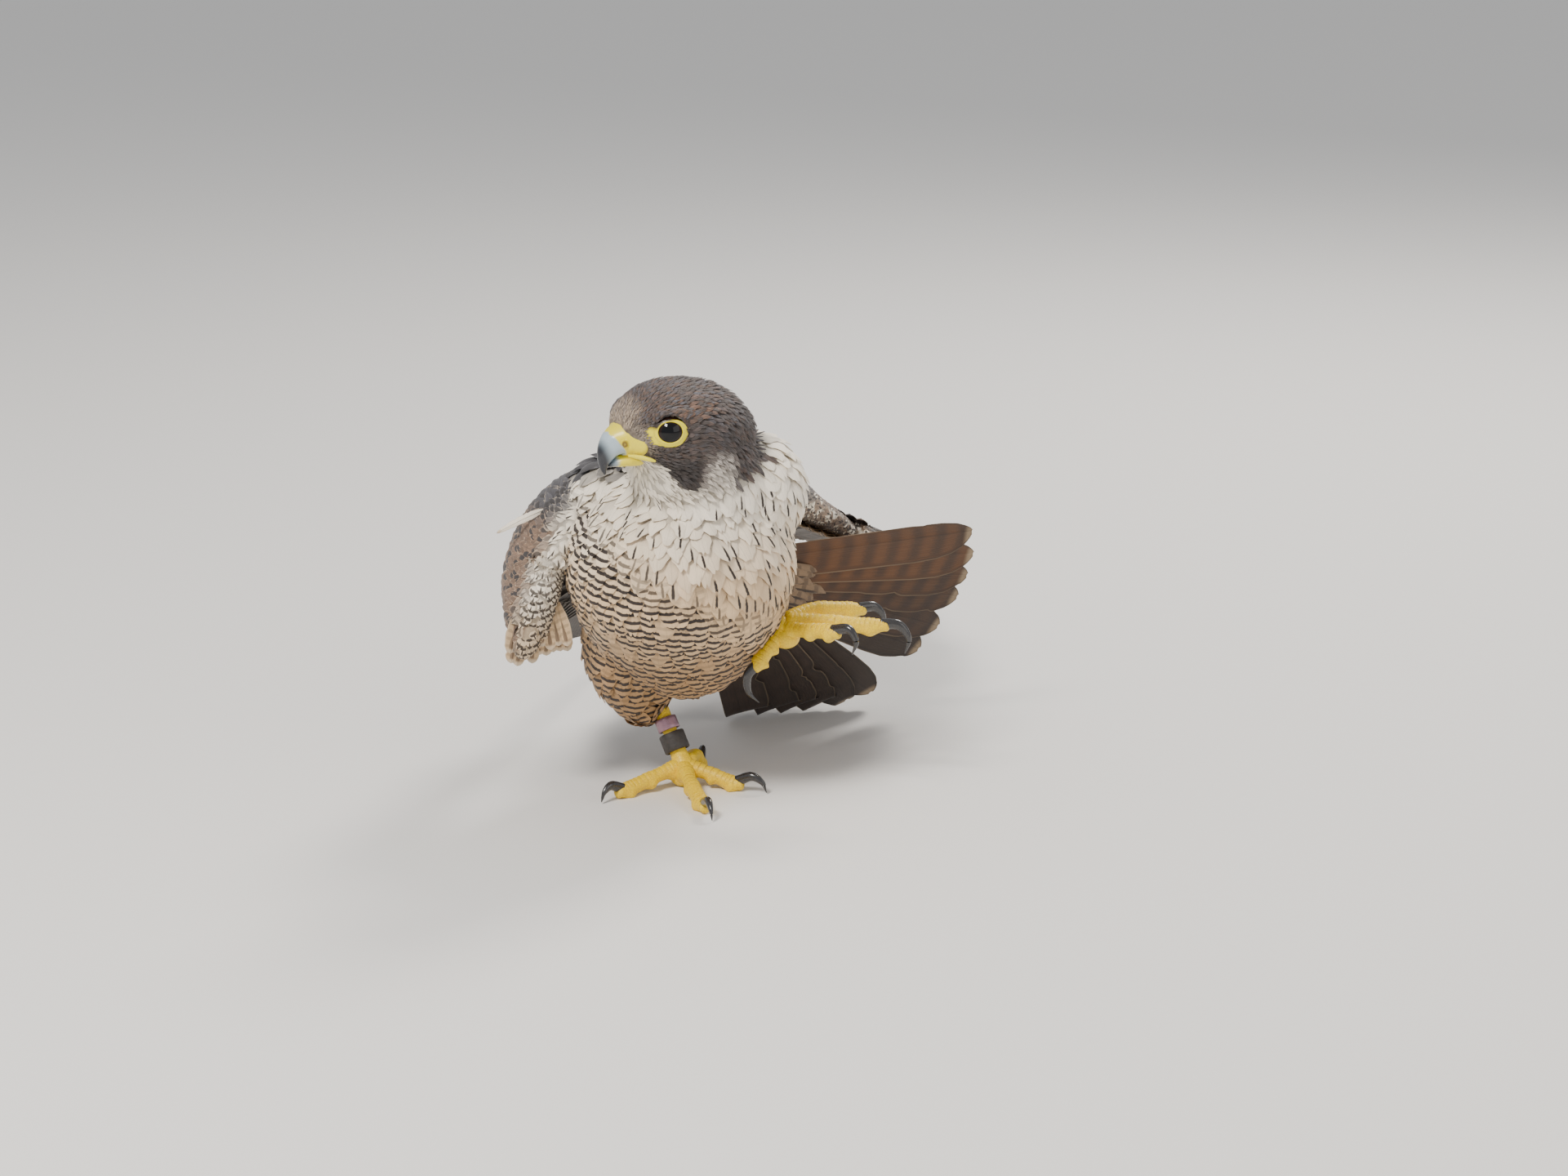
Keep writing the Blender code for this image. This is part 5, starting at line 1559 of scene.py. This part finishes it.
# %% Scaly feet
FOOT_RIGHT = np.array((0.0, 0.0, 1.15)) * CM
HEEL_RIGHT = np.array((-1.8, 1.7, 5.3)) * CM
FOOT_LEFT = np.array((5.65, -1.8, 9.5)) * CM
HEEL_LEFT = np.array((2.3, 1.2, 6.9)) * CM
TARSUS_RADIUS = 4.6 * MM
TOE_RADII = 4.4 * MM * np.array((1.15, 0.95, 1.05, 0.82))
RIGHT_TOES = {
    1: ([(0.25, 0.5, 1.15), (0.60, 1.6, 1.15), (0.80, 2.5, 0.42), (0.90, 3.0, 0.33)],
        [(0.92, 2.85, 0.53), (0.95, 3.75, 0.90), (1.0, 4.35, 0.62), (1.0, 4.6, 0.12)]),
    2: ([(0.35, -0.15, 1.0), (1.5, -0.55, 0.75), (2.5, -0.95, 0.42), (3.1, -1.2, 0.33)],
        [(2.95, -1.1, 0.53), (3.75, -1.5, 0.92), (4.35, -1.75, 0.66), (4.6, -1.85, 0.12)]),
    3: ([(0.05, -0.4, 1.0), (0.45, -2.2, 0.75), (0.95, -4.1, 0.42), (1.3, -5.3, 0.33)],
        [(1.25, -5.1, 0.53), (1.5, -6.0, 0.90), (1.65, -6.6, 0.64), (1.72, -6.85, 0.12)]),
    4: ([(-0.35, -0.2, 1.0), (-1.5, -1.0, 0.75), (-2.7, -1.9, 0.42), (-3.4, -2.6, 0.33)],
        [(-3.28, -2.45, 0.53), (-3.85, -3.0, 0.86), (-4.2, -3.4, 0.6), (-4.35, -3.6, 0.12)])}
LEFT_TOES = {
    1: ([(5.45, -1.9, 9.2), (4.90, -2.4, 8.6), (4.35, -2.8, 7.95), (4.1, -3.0, 7.55)],
        [(4.15, -3.0, 7.75), (3.6, -3.1, 7.1), (3.65, -3.1, 6.2), (4.2, -3.1, 5.6)]),
    2: ([(5.85, -2.0, 9.4), (6.75, -2.8, 9.5), (7.75, -3.5, 9.65), (8.35, -4.0, 9.65)],
        [(8.2, -3.9, 9.85), (9.0, -4.5, 10.05), (9.4, -4.8, 9.45), (9.2, -4.7, 8.7)]),
    3: ([(6.0, -1.8, 9.75), (7.6, -1.9, 9.8), (9.6, -2.0, 9.6), (11.0, -2.1, 9.6)],
        [(10.85, -2.1, 9.75), (11.8, -2.15, 9.65), (12.3, -2.2, 8.9), (12.1, -2.2, 8.1)]),
    4: ([(5.9, -1.5, 9.8), (7.1, -0.7, 10.15), (8.7, -0.1, 10.0), (9.8, 0.2, 9.9)],
        [(9.7, 0.15, 10.05), (10.5, 0.4, 10.05), (11.0, 0.6, 9.45), (10.9, 0.55, 8.8)])}

foot_paint = Paint("scaly_skin", Roughness=0.48, Coat_Weight=0.12, Coat_Roughness=0.35)
crease = foot_paint.attribute("shade", "Fac")
fleck = foot_paint.noise(2.2 * MM, 4.0)
cells = foot_paint.add("TexVoronoi", {"feature": "DISTANCE_TO_EDGE"},
                       {"Vector": foot_paint.place(), "Scale": 620.0})
lines = cells.ease(0.10, 0.0)
worn = foot_paint.mix(fleck, paint_colour(248, 216, 22), paint_colour(232, 184, 14))
foot_paint.set("Base Color", foot_paint.mix(
    (crease + lines * 0.35).math("MINIMUM", 0.85), worn, paint_colour(170, 128, 26)))
foot_paint.bump(cells.math("MINIMUM", 0.16), 0.9 * MM, 0.6)

claw_paint = Paint("claw_horn", Roughness=0.22, Coat_Weight=0.5, Coat_Roughness=0.15)
streaks = claw_paint.noise(1.1 * MM, 3.0)
claw_paint.set("Base Color", claw_paint.mix(streaks, (0.012, 0.012, 0.014), (0.040, 0.036, 0.034)))
claw_paint.bump(streaks, 0.1 * MM, 0.4)


def scutes(share, count):
    """Place within a scale, from 0 to 1; the scales are shorter at root and tip."""
    return ((share + 0.035 * np.sin(2 * np.pi * share)) * count + 0.12 * np.sin(9 * share)) % 1.0


def scales(count, height, joints):
    """Radius added along a toe: steps across its top, knuckles, and pads below."""

    def relief(way, share, turn):
        top = ease(0.05, 0.75, np.sin(turn))
        saw = scutes(share, count)
        tooth = (saw ** 0.6) * ease(1.0, 0.86, saw)
        below = ease(0.2, -0.6, np.sin(turn))
        knuckle = (0.5 + 0.5 * np.cos(2 * np.pi * (share * joints - 0.45))) ** 2.2
        return height * (top * tooth - 0.4) + (0.35 + 1.7 * below) * MM * (knuckle - 0.28)

    return relief


def scale_shade(way, turn, count):
    """Dark in the creases between scales, from the same steps as the relief."""
    saw = scutes(way / way.max(), count)
    return ease(0.14, 0.0, np.minimum(saw, 1 - saw)) * 0.6 * ease(0.0, 0.7, np.sin(turn))


def toe(points, count):
    """One toe with scales, and how dark each point is."""
    rows = [[*(np.array(p) * CM), r, r, r] for p, r in zip(points, TOE_RADII)]
    made, faces, way, turn = tube(rows, 90, 28, UP, (0.8, 0.8), scales(count, 0.42 * MM, 3))
    return made, faces, scale_shade(way, turn, count)


def foot(foot_at, heel, toes):
    """Tarsus, pad and four toes, as overlapping closed bodies in one mesh."""
    rows = []
    for share, size in ((0.0, 1.25), (0.2, 1.0), (0.55, 0.88), (0.85, 1.02), (1.0, 1.35)):
        radius = TARSUS_RADIUS * size
        rows.append([*between(heel, foot_at, share), radius, radius, radius])
    made, faces, way, turn = tube(rows, 80, 36, (0, 1, 0.2), (0.5, 0.7))
    parts = [(made, faces, np.zeros(len(made)))]
    for number, (points, _) in toes.items():
        parts.append(toe(points, (12, 13, 19, 17)[number - 1]))
    angle = np.linspace(0.001, np.pi - 0.001, 24)
    profile = np.stack([np.sin(angle) * 7.8 * MM, np.cos(angle) * 6.4 * MM], 1)
    pad, faces = turned(profile, foot_at + np.array((0, -0.1, -0.55)) * CM, UP, 40)
    parts.append((pad, outward(pad, faces), np.zeros(len(pad))))
    points, triangles, shade = join_parts(parts)
    if heel[2] < 0.06:
        points[:, 2] = np.maximum(points[:, 2], 0.05 * MM)
    return mesh_of("foot", points, triangles, {"shade": shade})


def claw(points):
    """One curved claw: deep at its root, sharp at its tip."""
    rows = [[*(np.array(p) * CM), wide * MM, tall * MM, tall * MM] for p, (wide, tall) in
            zip(points, ((2.5, 3.1), (2.15, 2.6), (1.35, 1.6), (0.25, 0.3)))]
    across = (np.array(points[1]) - np.array(points[0]))
    up = np.cross(np.cross(across, UP), across)
    return tube(rows, 44, 24, up, (0.6, 0.9))


for name, at, heel, toes in (("right", FOOT_RIGHT, HEEL_RIGHT, RIGHT_TOES),
                             ("left", FOOT_LEFT, HEEL_LEFT, LEFT_TOES)):
    show("foot_{}_skin".format(name), foot(at, heel, toes), foot_paint,
         ("foot_" + name,))
    for number, (_, points) in toes.items():
        body, faces, way, turn = claw(points)
        node = "claw_{}_{}".format(name, number)
        show(node + "_horn", mesh_of(node, body, faces), claw_paint, (node,))

# %% [markdown]
# ## Leather and ring
#
# A soft black leather band is laced round each leg, and a plain metal ring sits above the
# right one. Both are closed profiles carried round the leg.

# %% Bands on the legs
leather_paint = Paint("black_leather", Roughness=0.55)
pores = leather_paint.add("TexVoronoi", None, {"Vector": leather_paint.place(), "Scale": 900.0})
folds = leather_paint.noise(3.0 * MM, 4.0)
leather_paint.set("Base Color", leather_paint.mix(folds, (0.016, 0.014, 0.013), (0.062, 0.052, 0.046)))
leather_paint.set("Roughness", folds * 0.25 + 0.42)
leather_paint.bump(pores * 0.4 + folds, 0.35 * MM, 0.7)
metal_paint = Paint("worn_metal", Metallic=0.6, Roughness=0.34)
scratch = metal_paint.noise(0.8 * MM, 5.0)
metal_paint.set("Base Color", metal_paint.mix(scratch, paint_colour(176, 140, 152),
                                              paint_colour(136, 104, 116)))
metal_paint.set("Roughness", scratch * 0.15 + 0.28)


def band(centre, axis, inner, wall, height, soft, bumps=0.0):
    """A closed round of the profile of a band, its corners rounded by soft."""
    axis = unit(axis)
    half = height / 2
    edge = np.array(((inner, -half + soft), (inner + soft, -half), (inner + wall - soft, -half),
                     (inner + wall, -half + soft), (inner + wall, half - soft),
                     (inner + wall - soft, half), (inner + soft, half), (inner, half - soft),
                     (inner, -half + soft)))
    fine = np.concatenate([np.linspace(a, b, 5)[:-1] for a, b in zip(edge[:-1], edge[1:])]
                          + [edge[:1]])

    def wobble(angle):
        return 1 + bumps * (np.sin(3 * angle + 1) + 0.5 * np.sin(7 * angle))

    points, triangles = turned(fine, centre, axis, 80, wobble)
    return points, outward(points, triangles)


right_way, left_way = FOOT_RIGHT - HEEL_RIGHT, FOOT_LEFT - HEEL_LEFT
snug = TARSUS_RADIUS * 1.06 + 0.3 * MM
for name, at, way, inner, height in (
        ("anklet_right", HEEL_RIGHT + right_way * 0.72, right_way, snug * 1.1, 10.5 * MM),
        ("anklet_left", HEEL_LEFT + left_way * 0.70, left_way, snug, 8.0 * MM)):
    points, triangles = band(at, way, inner, 1.5 * MM, height, 0.5 * MM, 0.012)
    show(name + "_leather", mesh_of(name, points, triangles), leather_paint, (name,))
points, triangles = band(HEEL_RIGHT + right_way * 0.50, right_way, snug, 1.0 * MM, 7.0 * MM,
                         0.25 * MM)
show("ring_metal", mesh_of("ring", points, triangles), metal_paint, ("leg_ring",))

# %% [markdown]
# ## Floor and light
#
# A plain pale floor and large soft lights show the bird's own colours.

# %% Studio
floor_points = np.array([(-40, -40, 0), (40, -40, 0), (40, 40, 0), (-40, 40, 0)], float)
floor_paint = Paint("floor", Roughness=0.7)
floor_paint.set("Base Color", (0.80, 0.78, 0.75, 1))
floor = bpy.data.objects.new("floor", mesh_of("floor", floor_points, [(0, 1, 2), (0, 2, 3)]))
bpy.context.scene.collection.objects.link(floor)
floor.data.materials.append(floor_paint.material)


def lamp(name, place, power, size, aim=(0.03, 0.02, 0.12)):
    """A square area light at a place, turned to the bird."""
    data = bpy.data.lights.new(name, "AREA")
    data.energy = power
    data.size = size
    data.color = (1.0, 0.955, 0.90)
    thing = bpy.data.objects.new(name, data)
    thing.location = place
    thing.rotation_euler = (Vector(place) - Vector(aim)).to_track_quat("Z", "Y").to_euler()
    bpy.context.scene.collection.objects.link(thing)


lamp("key", (-0.8, -1.2, 1.7), 46, 0.5)
lamp("fill", (1.6, -1.2, 0.9), 8, 1.4)
lamp("rim", (0.9, 1.3, 1.6), 34, 0.6)
world = bpy.data.worlds.new("world")
bpy.context.scene.world = world
world.use_nodes = True
world.node_tree.nodes["Background"].inputs["Color"].default_value = (0.90, 0.92, 0.95, 1)
world.node_tree.nodes["Background"].inputs["Strength"].default_value = 0.62
